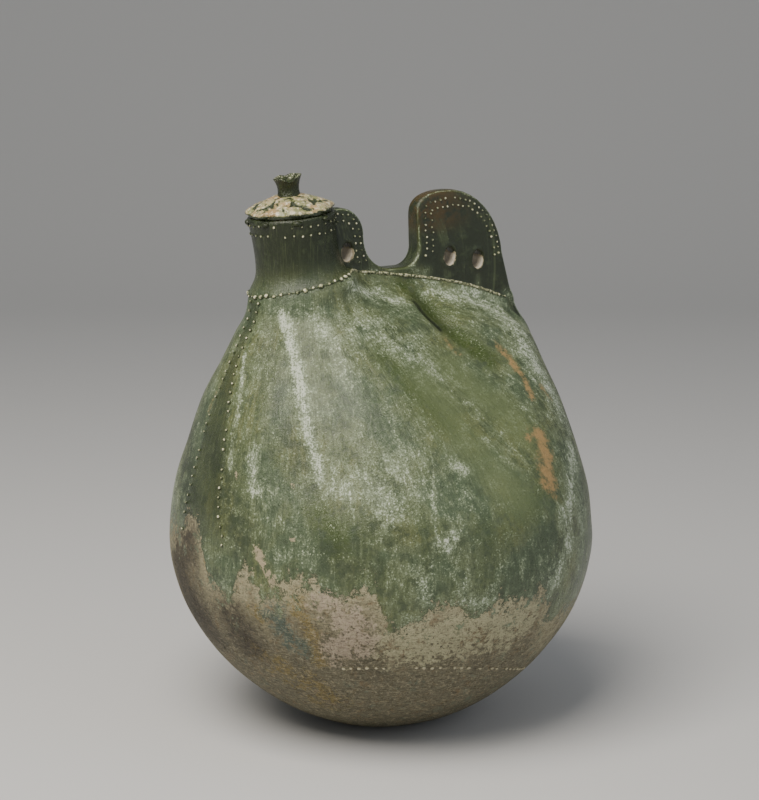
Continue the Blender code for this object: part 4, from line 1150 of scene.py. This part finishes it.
def beadTree():
    tree, given = newTree("beads along lines", {
        "Body": "Object", "Pitch": "Float", "Size": "Vector", "Spread": "Float", "Scatter": "Float",
        "Missing": "Float", "Sunk": "Float", "Roll": "Float", "Roll Wear": "Float", "Seed": "Int",
        "Material": "Material"})
    add = partial(addNode, tree)
    pot = add("GeometryNodeObjectInfo", {"Object": given["Body"]}, transform_space="RELATIVE")
    pot = pot.outputs["Geometry"]
    place = add("GeometryNodeInputPosition")
    near = add("GeometryNodeProximity", {0: pot, "Sample Position": place}, target_element="FACES")
    line = add("GeometryNodeMeshToCurve", {"Mesh": given["Geometry"]})
    row = add("GeometryNodeResampleCurve", {"Curve": line, "Length": given["Pitch"]}, mode="LENGTH")
    kept = add("GeometryNodeCaptureAttribute", {"Geometry": row}, domain="POINT")
    kept.capture_items.new("VECTOR", "tangent")
    tree.links.new(add("GeometryNodeInputTangent").outputs[0], kept.inputs[1])
    # each point gets a little off its line, then sits on the clay
    slip = add("FunctionNodeRandomValue", {0: (-1, -1, -1), "Seed": given["Seed"]},
               data_type="FLOAT_VECTOR")
    slip = add("ShaderNodeVectorMath", {0: slip, "Scale": given["Scatter"]}, operation="SCALE")
    moved = add("GeometryNodeSetPosition", {"Geometry": kept, "Offset": slip})
    seated = add("GeometryNodeSetPosition", {"Geometry": moved, "Position": near})
    facing = add("GeometryNodeInputNormal")
    outward = add("GeometryNodeSampleNearestSurface",
                  {"Mesh": pot, "Value": facing, "Sample Position": place}, data_type="FLOAT_VECTOR")
    upright = add("FunctionNodeAlignRotationToVector", {"Vector": outward}, axis="Z")
    turned = add("FunctionNodeAlignRotationToVector", {"Rotation": upright, "Vector": kept.outputs[1]},
                 axis="X", pivot_axis="Z")
    # one bead: a ball of which the lower part goes into the clay
    ball = add("GeometryNodeMeshIcoSphere", {"Radius": 1, "Subdivisions": 2})
    level = add("ShaderNodeSeparateXYZ", {0: place}).outputs["Z"]
    bead = add("GeometryNodeStoreNamedAttribute", {"Geometry": ball, "Name": "crown", "Value": level},
               data_type="FLOAT")
    sunk = add("ShaderNodeCombineXYZ", {"Z": given["Sunk"]})
    bead = add("GeometryNodeTransform", {"Geometry": bead, "Translation": sunk})
    low = add("ShaderNodeMath", {0: 1.0, 1: given["Spread"]}, operation="SUBTRACT")
    high = add("ShaderNodeMath", {0: 1.0, 1: given["Spread"]}, operation="ADD")
    spread = add("FunctionNodeRandomValue", {2: low, 3: high, "Seed": given["Seed"]}, data_type="FLOAT")
    size = add("ShaderNodeVectorMath", {0: given["Size"], "Scale": spread.outputs[1]}, operation="SCALE")
    stays = add("FunctionNodeRandomValue", {"Seed": given["Seed"]}, data_type="FLOAT")
    stays = add("ShaderNodeMath", {0: stays.outputs[1], 1: given["Missing"]}, operation="GREATER_THAN")
    placed = add("GeometryNodeInstanceOnPoints", {
        "Points": seated, "Selection": stays, "Instance": bead, "Rotation": turned, "Scale": size})
    tone = add("FunctionNodeRandomValue", {"Seed": 7}, data_type="FLOAT").outputs[1]
    placed = add("GeometryNodeStoreNamedAttribute", {"Geometry": placed, "Name": "tone", "Value": tone},
                 data_type="FLOAT", domain="INSTANCE")
    placed = add("GeometryNodeRealizeInstances", {"Geometry": placed})
    # the roll under them swells, thins and tapers off at its ends
    soft = add("GeometryNodeResampleCurve", {"Curve": line, "Length": 0.9 * mm}, mode="LENGTH")
    laid = add("GeometryNodeSetPosition", {"Geometry": soft, "Position": near})
    swell = add("ShaderNodeTexNoise", {"Vector": place, "Scale": 1 / (6 * mm), "Detail": 2.0})
    swell = add("ShaderNodeMapRange",
                {"Value": swell, "From Min": 0.3, "From Max": 0.7, "To Min": 0.55, "To Max": 1.1})
    along = add("GeometryNodeSplineParameter").outputs["Factor"]
    ends = add("ShaderNodeMath", {0: along, 1: 0.5}, operation="SUBTRACT")
    ends = add("ShaderNodeMath", {0: ends}, operation="ABSOLUTE")
    ends = add("ShaderNodeMapRange",
               {"Value": ends, "From Min": 0.5, "From Max": 0.46, "To Min": 0.15, "To Max": 1.0},
               interpolation_type="SMOOTHSTEP")
    thick = add("ShaderNodeMath", {0: swell, 1: ends}, operation="MULTIPLY")
    laid = add("GeometryNodeSetCurveRadius", {"Curve": laid, "Radius": thick})
    ring = add("GeometryNodeCurvePrimitiveCircle", {"Resolution": 8, "Radius": given["Roll"]})
    roll = add("GeometryNodeCurveToMesh",
               {"Curve": laid, "Profile Curve": ring, "Fill Caps": True, "Scale": thick})
    roll = add("GeometryNodeStoreNamedAttribute",
               {"Geometry": roll, "Name": "crown", "Value": given["Roll Wear"]}, data_type="FLOAT")
    rolled = add("ShaderNodeMath", {0: given["Roll"], 1: 0.0}, operation="GREATER_THAN")
    roll = add("GeometryNodeSwitch", {"Switch": rolled, "True": roll}, input_type="GEOMETRY")
    both = add("GeometryNodeJoinGeometry", {0: [placed, roll]})
    worked = dented(tree, both, place, size=2.2 * mm, detail=2.0, depth=0.9 * mm)
    closeTree(tree, worked, given["Material"])
    return tree


# Rows of beads: the usual stitch, then what each row has of its own
beads = {
    "usual": {"Pitch": 3.9 * mm, "Size": (0.78 * mm, 0.78 * mm, 0.7 * mm), "Spread": 0.18,
              "Scatter": 0.45 * mm, "Missing": 0.03, "Sunk": 0.15, "Roll": 0.0, "Roll Wear": 0.45},
    "foot": {"Pitch": 5 * mm, "Size": (1.4 * mm, 1.2 * mm, 1.05 * mm), "Spread": 0.42, "Roll": 0.75 * mm},
    "crest": {"Pitch": 4.6 * mm, "Spread": 0.3, "Missing": 0.3, "Roll": 1.15 * mm, "Roll Wear": 0.87},
    "lugs": {},
    "rim": {"Pitch": 5.5 * mm},
    "bosses": {"Pitch": 2 * math.pi * neck["mouth"] / 9, "Size": (3.3 * mm, 1.7 * mm, 1.5 * mm),
               "Scatter": 0.1 * mm, "Spread": 0.06, "Missing": 0.0},
    "seam": {"Pitch": 5.8 * mm, "Size": (mm, mm, 0.95 * mm), "Missing": 0.05, "Sunk": 0.3},
    "base": {"Pitch": 4.9 * mm, "Size": (1.3 * mm, 1.1 * mm, 0.9 * mm), "Missing": 0.08, "Sunk": 0.0},
}
# Where the rows run
rows = {
    "footRadius": 31 * mm, "footHeight": 292.3 * mm, "footSlope": 7.2 * mm, "footHighest": math.radians(335),
    "crestStart": [(-38.5, 20.5), (-35, 17), (-31, 13), (-26, 10)],    # round the neck's foot, in millimetres
    "crestOut": 1.6 * mm, "crestUp": 1.2 * mm,
    # insets of the lugs' two rows, at these places along the crest
    "insetsAt": [-30 * mm, -8 * mm, 15 * mm, 45 * mm, 80 * mm],
    "insets": [[3.8 * mm, 3.8 * mm, 5.7 * mm, 5.7 * mm, 3.6 * mm],
               [8 * mm, 8 * mm, 10.6 * mm, 10.8 * mm, 7.2 * mm]],
    # how far the lugs' rows keep from the bag, the seat, a hole and the neck
    "offBag": 4 * mm, "offSeat": 12 * mm, "seatTo": 40 * mm, "offHole": 2.2 * mm, "offNeck": 1.5 * mm,
    # height on the neck, and how far the row wavers
    "rims": [(41.2 * mm, 0.8 * mm), (35.4 * mm, 0.6 * mm)], "bosses": [(43.4 * mm, 0.0)],
    # azimuths and drop towards both ends, in degrees and millimetres
    "baseRadius": 122 * mm, "baseHeight": 69, "baseDrop": 13, "baseMiddle": 238, "baseHalf": 35,
}


def neckRow(height, lift):
    # round the neck on its surface, rising and falling a little, open at the crest
    line, radius = [], float(neckRadius(height))
    for turn in np.radians(range(24, 338, 4)):
        up = height + lift * math.sin(2 * turn + 1)
        line.append(fromNeck(radius * math.cos(turn), radius * math.sin(turn), up))
    return line


def footRing():
    # round the neck's foot, open at the crest
    line = []
    for turn in np.radians(range(42, 320, 4)):
        z = rows["footHeight"] + rows["footSlope"] * math.cos(turn - rows["footHighest"])
        x, y = rows["footRadius"] * math.cos(turn), rows["footRadius"] * math.sin(turn)
        line.append((x - body["neckOffset"], y, z))
    return [onSurface(line)]


def crestFoot(side):
    # from the ring round the neck's foot along the ridge to the tail
    run = [(x * mm, y * mm) for x, y in rows["crestStart"]]
    run += [(x, crestHalf(ridgeHeight(x)) + rows["crestOut"]) for x in np.linspace(-20 * mm, 92 * mm, 50)]
    return [onSurface([(x, side * y, float(ridgeHeight(x)) + rows["crestUp"]) for x, y in run])]


def lugRows(side):
    # two rows along the lugs' edges, broken where a hole, the neck or the bag is too near
    outline = np.array(crestLine)
    outline = outline[outline[:, 1] > ridgeHeight(outline[:, 0]) + 3 * mm]
    fine = []
    for start, end in zip(outline[:-1], outline[1:]):
        count = max(int(np.linalg.norm(end - start) / mm), 1)
        fine += [start + (end - start) * n / count for n in range(count)]
    fine = np.array(fine)
    ahead = np.gradient(fine, axis=0)
    ahead /= np.maximum(np.linalg.norm(ahead, axis=1), 1e-9)[:, None]
    found = []
    for insets in rows["insets"]:
        inset = np.interp(fine[:, 0], rows["insetsAt"], insets)
        x, z = (fine + inset[:, None] * np.stack([ahead[:, 1], -ahead[:, 0]], 1)).T
        across, _, up = neckPlace(x, 0, z)
        clear = outlineDistance(x, z, crestLine) < -inset + 0.6 * mm
        clear &= (holeDistance(x, z) > rows["offHole"]) & (z > ridgeHeight(x) + rows["offBag"])
        clear &= (z > body["seatHeight"] + rows["offSeat"]) | (x > rows["seatTo"])
        clear &= across > neckRadius(up) + rows["offNeck"]
        line = np.stack([x, side * crestHalf(z), z], 1)
        runs = np.split(np.arange(len(line)), np.nonzero(np.diff(clear))[0] + 1)
        found += [line[run] for run in runs if clear[run[0]] and len(run) > 3]
    return found


def seamRows():
    # two rows that start outside the flask and go in along X until they meet the clay
    heights = np.arange(283, 138, -3.0)
    found = []
    for name in ("rightY", "leftY"):
        ys = np.interp(heights, seam["heights"], seam[name])
        line = np.stack([np.full(len(heights), -150.0), ys, heights], 1) * mm
        for _ in range(60):
            line[:, 0] += 0.7 * np.maximum(flaskField(*line.T), 0)
        found.append(line)
    return found


def baseRow():
    # a bowed row low on the bare clay
    line = []
    for degrees in range(226, 296, 3):
        turn, drop = math.radians(degrees), ((degrees - rows["baseMiddle"]) / rows["baseHalf"]) ** 2
        line.append((rows["baseRadius"] * math.cos(turn), rows["baseRadius"] * math.sin(turn),
                     (rows["baseHeight"] - rows["baseDrop"] * drop) * mm))
    return [onSurface(line)]


def addBeads(name, look, lines, tree, finish, nodes=()):
    values = {**beads["usual"], **beads[look], "Body": flask, "Seed": len(name), "Material": finish}
    piece = grown(name, tree, guideMesh(name, lines), values)
    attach(piece, "flask")
    if nodes:
        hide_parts(*nodes)
    print(name + ":", len(piece.data.polygons), "faces")


# The lid: lotus petals modelled in high relief on a low dome

lid = {
    "radius": 28.9 * mm, "edge": 3.4 * mm, "dome": 7.2 * mm, "petals": 8,
    "gap": 0.3 * mm,                                                  # under it, over the mouth
    "petal": (11.6 * mm, 8.0 * mm, 2.9 * mm), "petalAt": 15.0 * mm,   # half sizes, distance from the middle
    "tip": (5.6 * mm, 7.4 * mm, 2.5 * mm), "tipAt": 23.2 * mm,        # smaller tips between them, at the rim
    "rimRound": 2.4 * mm, "domeShare": 0.93, "voxel": 0.42 * mm, "seed": 4, "blurs": 150,
}


def petalTree():
    tree, given = newTree("petals on a dome", {
        "Radius": "Float", "Edge": "Float", "Dome": "Float", "Petals": "Int", "Petal": "Vector",
        "Petal At": "Float", "Tip": "Vector", "Tip At": "Float", "Voxel": "Float", "Seed": "Int",
        "Material": "Material"})
    add = partial(addNode, tree)
    place = add("GeometryNodeInputPosition")
    inner = add("ShaderNodeMath", {0: given["Radius"], 1: lid["rimRound"]}, operation="SUBTRACT")
    slab = add("GeometryNodeMeshCylinder", {"Vertices": 64, "Radius": inner, "Depth": given["Edge"]})
    half = add("ShaderNodeMath", {0: given["Edge"], 1: 0.5}, operation="MULTIPLY")
    lift = add("ShaderNodeCombineXYZ", {"Z": half})
    slab = add("GeometryNodeTransform", {"Geometry": slab, "Translation": lift})
    ball = add("GeometryNodeMeshIcoSphere", {"Radius": 1, "Subdivisions": 4})
    across = add("ShaderNodeMath", {0: given["Radius"], 1: lid["domeShare"]}, operation="MULTIPLY")
    squash = add("ShaderNodeCombineXYZ", {"X": across, "Y": across, "Z": given["Dome"]})
    dome = add("GeometryNodeTransform", {"Geometry": ball, "Translation": lift, "Scale": squash})
    parts = [slab, dome]
    for shape, offset, seedStep, drop in (("Petal", 0.0, 0, 0.42), ("Tip", 0.5, 5, 0.06)):
        ring = add("GeometryNodeMeshCircle", {"Vertices": given["Petals"], "Radius": given[shape + " At"]})
        turn = add("ShaderNodeMath", {0: offset * 2 * math.pi, 1: given["Petals"]}, operation="DIVIDE")
        turn = add("ShaderNodeCombineXYZ", {"Z": turn})
        ring = add("GeometryNodeTransform", {"Geometry": ring, "Rotation": turn})
        # X outwards, then the petal dips towards the rim
        outward = add("FunctionNodeAlignRotationToVector", {"Vector": place}, axis="X", pivot_axis="Z")
        seed = add("ShaderNodeMath", {0: given["Seed"], 1: float(seedStep)}, operation="ADD")
        tipping = add("FunctionNodeRandomValue",
                      {0: (-0.1, 0.26, -0.12), 1: (0.1, 0.40, 0.12), "Seed": seed}, data_type="FLOAT_VECTOR")
        tipping = add("FunctionNodeEulerToRotation", {0: tipping})
        turned = add("FunctionNodeRotateRotation", {0: outward, 1: tipping}, rotation_space="LOCAL")
        spread = add("FunctionNodeRandomValue",
                     {0: (0.9, 0.88, 0.8), 1: (1.08, 1.06, 1.2), "Seed": seed}, data_type="FLOAT_VECTOR")
        size = add("ShaderNodeVectorMath", {0: given[shape], 1: spread}, operation="MULTIPLY")
        leaves = add("GeometryNodeInstanceOnPoints",
                     {"Points": ring, "Instance": ball, "Rotation": turned, "Scale": size})
        height = add("ShaderNodeMath", {0: given["Dome"], 1: drop, 2: given["Edge"]},
                     operation="MULTIPLY_ADD")
        up = add("ShaderNodeCombineXYZ", {"Z": height})
        parts.append(add("GeometryNodeTransform", {"Geometry": leaves, "Translation": up}))
    # one lump of clay out of them all, smoothed as with a wet finger
    parts = add("GeometryNodeJoinGeometry", {0: parts})
    whole = add("GeometryNodeRealizeInstances", {"Geometry": parts})
    lump = add("GeometryNodeMeshToVolume",
               {"Mesh": whole, "Voxel Size": given["Voxel"], "Density": 1.0, "Interior Band Width": 1.2 * mm},
               resolution_mode="VOXEL_SIZE")
    skin = add("GeometryNodeVolumeToMesh",
               {"Volume": lump, "Voxel Size": given["Voxel"], "Threshold": 0.1}, resolution_mode="VOXEL_SIZE")
    even = add("GeometryNodeBlurAttribute", {0: place, "Iterations": 3}, data_type="FLOAT_VECTOR")
    skin = add("GeometryNodeSetPosition", {"Geometry": skin, "Position": even})
    skin = dented(tree, skin, place, size=5 * mm, detail=3.0, depth=1.6 * mm)
    closeTree(tree, skin, given["Material"])
    return tree


def lidFrame(points):
    # from the lid's own frame, in the middle of the mouth and square to the tilt, to its place
    x, y, z = np.array(points, float).T
    height = z + neck["length"] + lid["gap"]
    return np.stack(fromNeck(x + (height - neck["length"]) * neckShift, y, height), 1)


def buildLid(finish):
    piece = grown("lid_petals", petalTree(), bpy.data.meshes.new("start"), {
        "Radius": lid["radius"], "Edge": lid["edge"], "Dome": lid["dome"], "Petals": lid["petals"],
        "Petal": lid["petal"], "Petal At": lid["petalAt"], "Tip": lid["tip"], "Tip At": lid["tipAt"],
        "Voxel": lid["voxel"], "Seed": lid["seed"], "Material": finish})
    points = pointsOf(piece.data)
    # the underside is flat and nothing passes the rim
    points[:, 2] = np.maximum(points[:, 2], 0)
    reach = np.hypot(points[:, 0], points[:, 1])
    points[:, :2] *= np.minimum(1, lid["radius"] / np.maximum(reach, mm))[:, None]
    # how far each place stands above its surroundings: below nothing in the grooves between petals
    edges = np.empty(len(piece.data.edges) * 2, int)
    piece.data.edges.foreach_get("vertices", edges)
    ends, others = edges.reshape(-1, 2).T
    near = np.bincount(edges, minlength=len(points))
    around = points[:, 2].copy()
    for _ in range(lid["blurs"]):
        total = np.bincount(ends, around[others], len(points))
        total += np.bincount(others, around[ends], len(points))
        around = 0.5 * around + 0.5 * total / near
    relief = points[:, 2] - around
    relief /= relief[points[:, 2] > mm].std()
    storeMasks(piece.data, {"relief": relief, "reach": reach / lid["radius"], "low": points[:, 2] / mm})
    movePoints(piece.data, lidFrame(points))
    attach(piece, "lid")
    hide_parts("lid_plate")
    print("lid:", len(piece.data.polygons), "faces")


knob = {
    "foot": 7.4 * mm, "waist": 6.2 * mm, "lip": 9.1 * mm, "height": 13.2 * mm, "cup": 4.4 * mm,
    "wall": 1.9 * mm, "lipRound": 0.6 * mm, "sides": 72, "under": 5 * mm,
    # where the lip is broken: azimuth, half angle, depth as a share of the height
    "breaks": [(math.radians(250), 0.42, 0.17), (math.radians(70), 0.3, 0.10)],
}


def buildKnob(finish):
    # a turned stem that opens into a small cup with a broken lip
    k, half = knob, knob["wall"] / 2
    profile = [(0, -k["under"]), (k["foot"] * 0.5, -k["under"]), (k["foot"] * 0.95, -k["under"])]
    for share in np.arange(15) / 14:
        foot, lip = (k["foot"] - k["waist"]) * (1 - share) ** 4, (k["lip"] - k["waist"]) * share ** 2.2
        profile.append((k["waist"] + foot + lip, share * (k["height"] - 0.5 * mm)))
    for turn in np.radians((40, 75, 110, 145, 180)):
        profile.append((k["lip"] + half * (math.cos(turn) - 1),
                        k["height"] + k["lipRound"] * (math.sin(turn) - 1)))
    for share in (0.85, 0.65, 0.45, 0.25, 0):
        profile.append(((k["lip"] - 2 * half) * share, k["height"] - k["cup"] * (1 - 0.9 * share ** 2.4)))
    turns = np.linspace(0, 2 * math.pi, k["sides"], endpoint=False)
    dip = 0.03 * np.sin(3 * turns + 0.6) + 0.06 * (1 - np.cos(turns))
    for middle, wide, depth in k["breaks"]:
        dip += depth * np.exp(-((turns - middle) / wide) ** 2)
    dip = np.maximum(dip, 0)
    points = []
    for radius, height in profile:
        up = max(height / k["height"], 0) ** 3
        wide = radius * (1 + 0.05 * up * np.sin(2 * turns + 1) - 0.1 * up * dip)
        wide = np.minimum(wide, k["lip"])
        # the dips fade out towards the middle of the cup
        high = height - up * k["height"] * dip * min(radius / k["waist"], 1)
        points.append(np.stack([wide * np.cos(turns), wide * np.sin(turns), high], 1))
    points, count = np.concatenate(points), k["sides"]
    quads = []
    for row in range(len(profile) - 1):
        for n in range(count):
            a, b = row * count + n, row * count + (n + 1) % count
            quads.append((a, b, b + count, a + count))
    base = np.array([0, 0, lid["edge"] + lid["dome"]])
    mesh = meshFromArrays("lid_knob_cup", lidFrame(points + base), quads)
    storeMasks(mesh, {"wear": np.clip(points[:, 2] / k["height"], 0, 1)})
    work = bmesh.new()
    work.from_mesh(mesh)
    bmesh.ops.remove_doubles(work, verts=work.verts, dist=0.01 * mm)
    bmesh.ops.recalc_face_normals(work, faces=work.faces)
    work.to_mesh(mesh)
    work.free()
    mesh.shade_smooth()
    mesh.materials.append(finish)
    piece = pieceFromMesh("lid_knob_cup", mesh)
    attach(piece, "lid")
    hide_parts("lid_knob")
    print("knob:", len(mesh.polygons), "faces")


flask.data.materials.append(glaze)
stitches = beadTree()
addBeads("neck_foot_beads", "foot", footRing(), stitches, worn, ["neck_welt"])
addBeads("crest_beads_front", "crest", crestFoot(-1), stitches, worn, ["crest_welt_front"])
addBeads("crest_beads_back", "crest", crestFoot(1), stitches, worn, ["crest_welt_back"])
addBeads("lug_stitches", "lugs", lugRows(-1) + lugRows(1), stitches, worn)
addBeads("neck_stitches", "rim", [neckRow(*rim) for rim in rows["rims"]], stitches, worn)
addBeads("neck_bosses", "bosses", [neckRow(*row) for row in rows["bosses"]], stitches, knobGlaze)
addBeads("seam_stitches", "seam", seamRows(), stitches, worn)
addBeads("base_stitches", "base", baseRow(), stitches, clay)
buildLid(petalGlaze)
buildKnob(knobGlaze)
spigot = frame["nodes"]["lid_spigot"]
spigot.data.materials.clear()
spigot.data.materials.append(clay)


# Floor, backdrop, light and camera

studio = {
    "floor": 6.0, "bend": 1.2, "wall": 3.2, "back": 1.7,    # a paper sweep, in metres
    "paper": "c9c9c8",
    # place, watts, size and colour of each lamp, and what both point at
    "lamps": {"soft box above": ((-0.75, -0.35, 1.35), 32, 1.0, "fff8ee"),
              "fill": ((0.9, -1.5, 0.9), 6, 1.6, "eef3ff")},
    "lit": (0, 0, 0.15), "sky": "d9dcdf", "skyStrength": 0.4,
}
view = {
    "azimuth": -33, "elevation": 12.5, "distance": 1.48, "aim": (0, 0, 0.18),
    "perPixel": 0.654 * mm, "width": 759, "height": 800, "middle": (381, 446.3),
}


def buildSweep():
    # floor and wall in one sheet with a soft bend, square to the view
    turn, half, bend = math.radians(view["azimuth"]), studio["floor"] / 2, studio["bend"]
    across, back = Vector((math.cos(turn), math.sin(turn), 0)), Vector((-math.sin(turn), math.cos(turn), 0))
    profile = [(-half, 0), (studio["back"], 0)]
    for angle in np.radians(np.arange(1, 17) * 90 / 16):
        profile.append((studio["back"] + bend * math.sin(angle), bend * (1 - math.cos(angle))))
    profile.append((studio["back"] + bend, studio["wall"]))
    points = [back * along + across * side * half + Vector((0, 0, height))
              for along, height in profile for side in (-1, 1)]
    quads = [(2 * n, 2 * n + 1, 2 * n + 3, 2 * n + 2) for n in range(len(profile) - 1)]
    sweep = pieceFromMesh("paper_sweep", meshFromArrays("paper_sweep", points, quads))
    paper = bpy.data.materials.new("paper, matt, unlined")
    paper.use_nodes = True
    shader = paper.node_tree.nodes["Principled BSDF"]
    shader.inputs["Base Color"].default_value = linear(studio["paper"])
    shader.inputs["Roughness"].default_value = 0.9
    sweep.data.materials.append(paper)


def addLamp(name, place, power, size, colour):
    lamp = bpy.data.lights.new(name, "AREA")
    lamp.energy, lamp.size, lamp.color = power, size, linear(colour)[:3]
    stand = bpy.data.objects.new(name, lamp)
    stand.location = place
    stand.rotation_euler = (Vector(studio["lit"]) - Vector(place)).to_track_quat("-Z", "Y").to_euler()
    bpy.context.scene.collection.objects.link(stand)


def buildCamera():
    turn, rise = math.radians(view["azimuth"]), math.radians(view["elevation"])
    towards = Vector((math.sin(turn) * math.cos(rise), -math.cos(turn) * math.cos(rise), math.sin(rise)))
    lens = bpy.data.cameras.new("camera")
    lens.sensor_fit, lens.sensor_height = "VERTICAL", 36
    lens.lens = 36 * view["distance"] / (view["perPixel"] * view["height"])
    lens.shift_x = (view["width"] / 2 - view["middle"][0]) / view["height"]
    lens.shift_y = (view["middle"][1] - view["height"] / 2) / view["height"]
    lens.clip_start, lens.clip_end = 0.1, 30
    camera = bpy.data.objects.new("camera", lens)
    camera.location = Vector(view["aim"]) + towards * view["distance"]
    camera.rotation_euler = (-towards).to_track_quat("-Z", "Y").to_euler()
    bpy.context.scene.collection.objects.link(camera)
    bpy.context.scene.camera = camera


buildSweep()
buildCamera()
for name, lamp in studio["lamps"].items():
    addLamp(name, *lamp)
world = bpy.data.worlds.new("studio")
bpy.context.scene.world = world
world.use_nodes = True
sky = world.node_tree.nodes["Background"]
sky.inputs["Color"].default_value = linear(studio["sky"])
sky.inputs["Strength"].default_value = studio["skyStrength"]
print("stage, lamps and camera set")
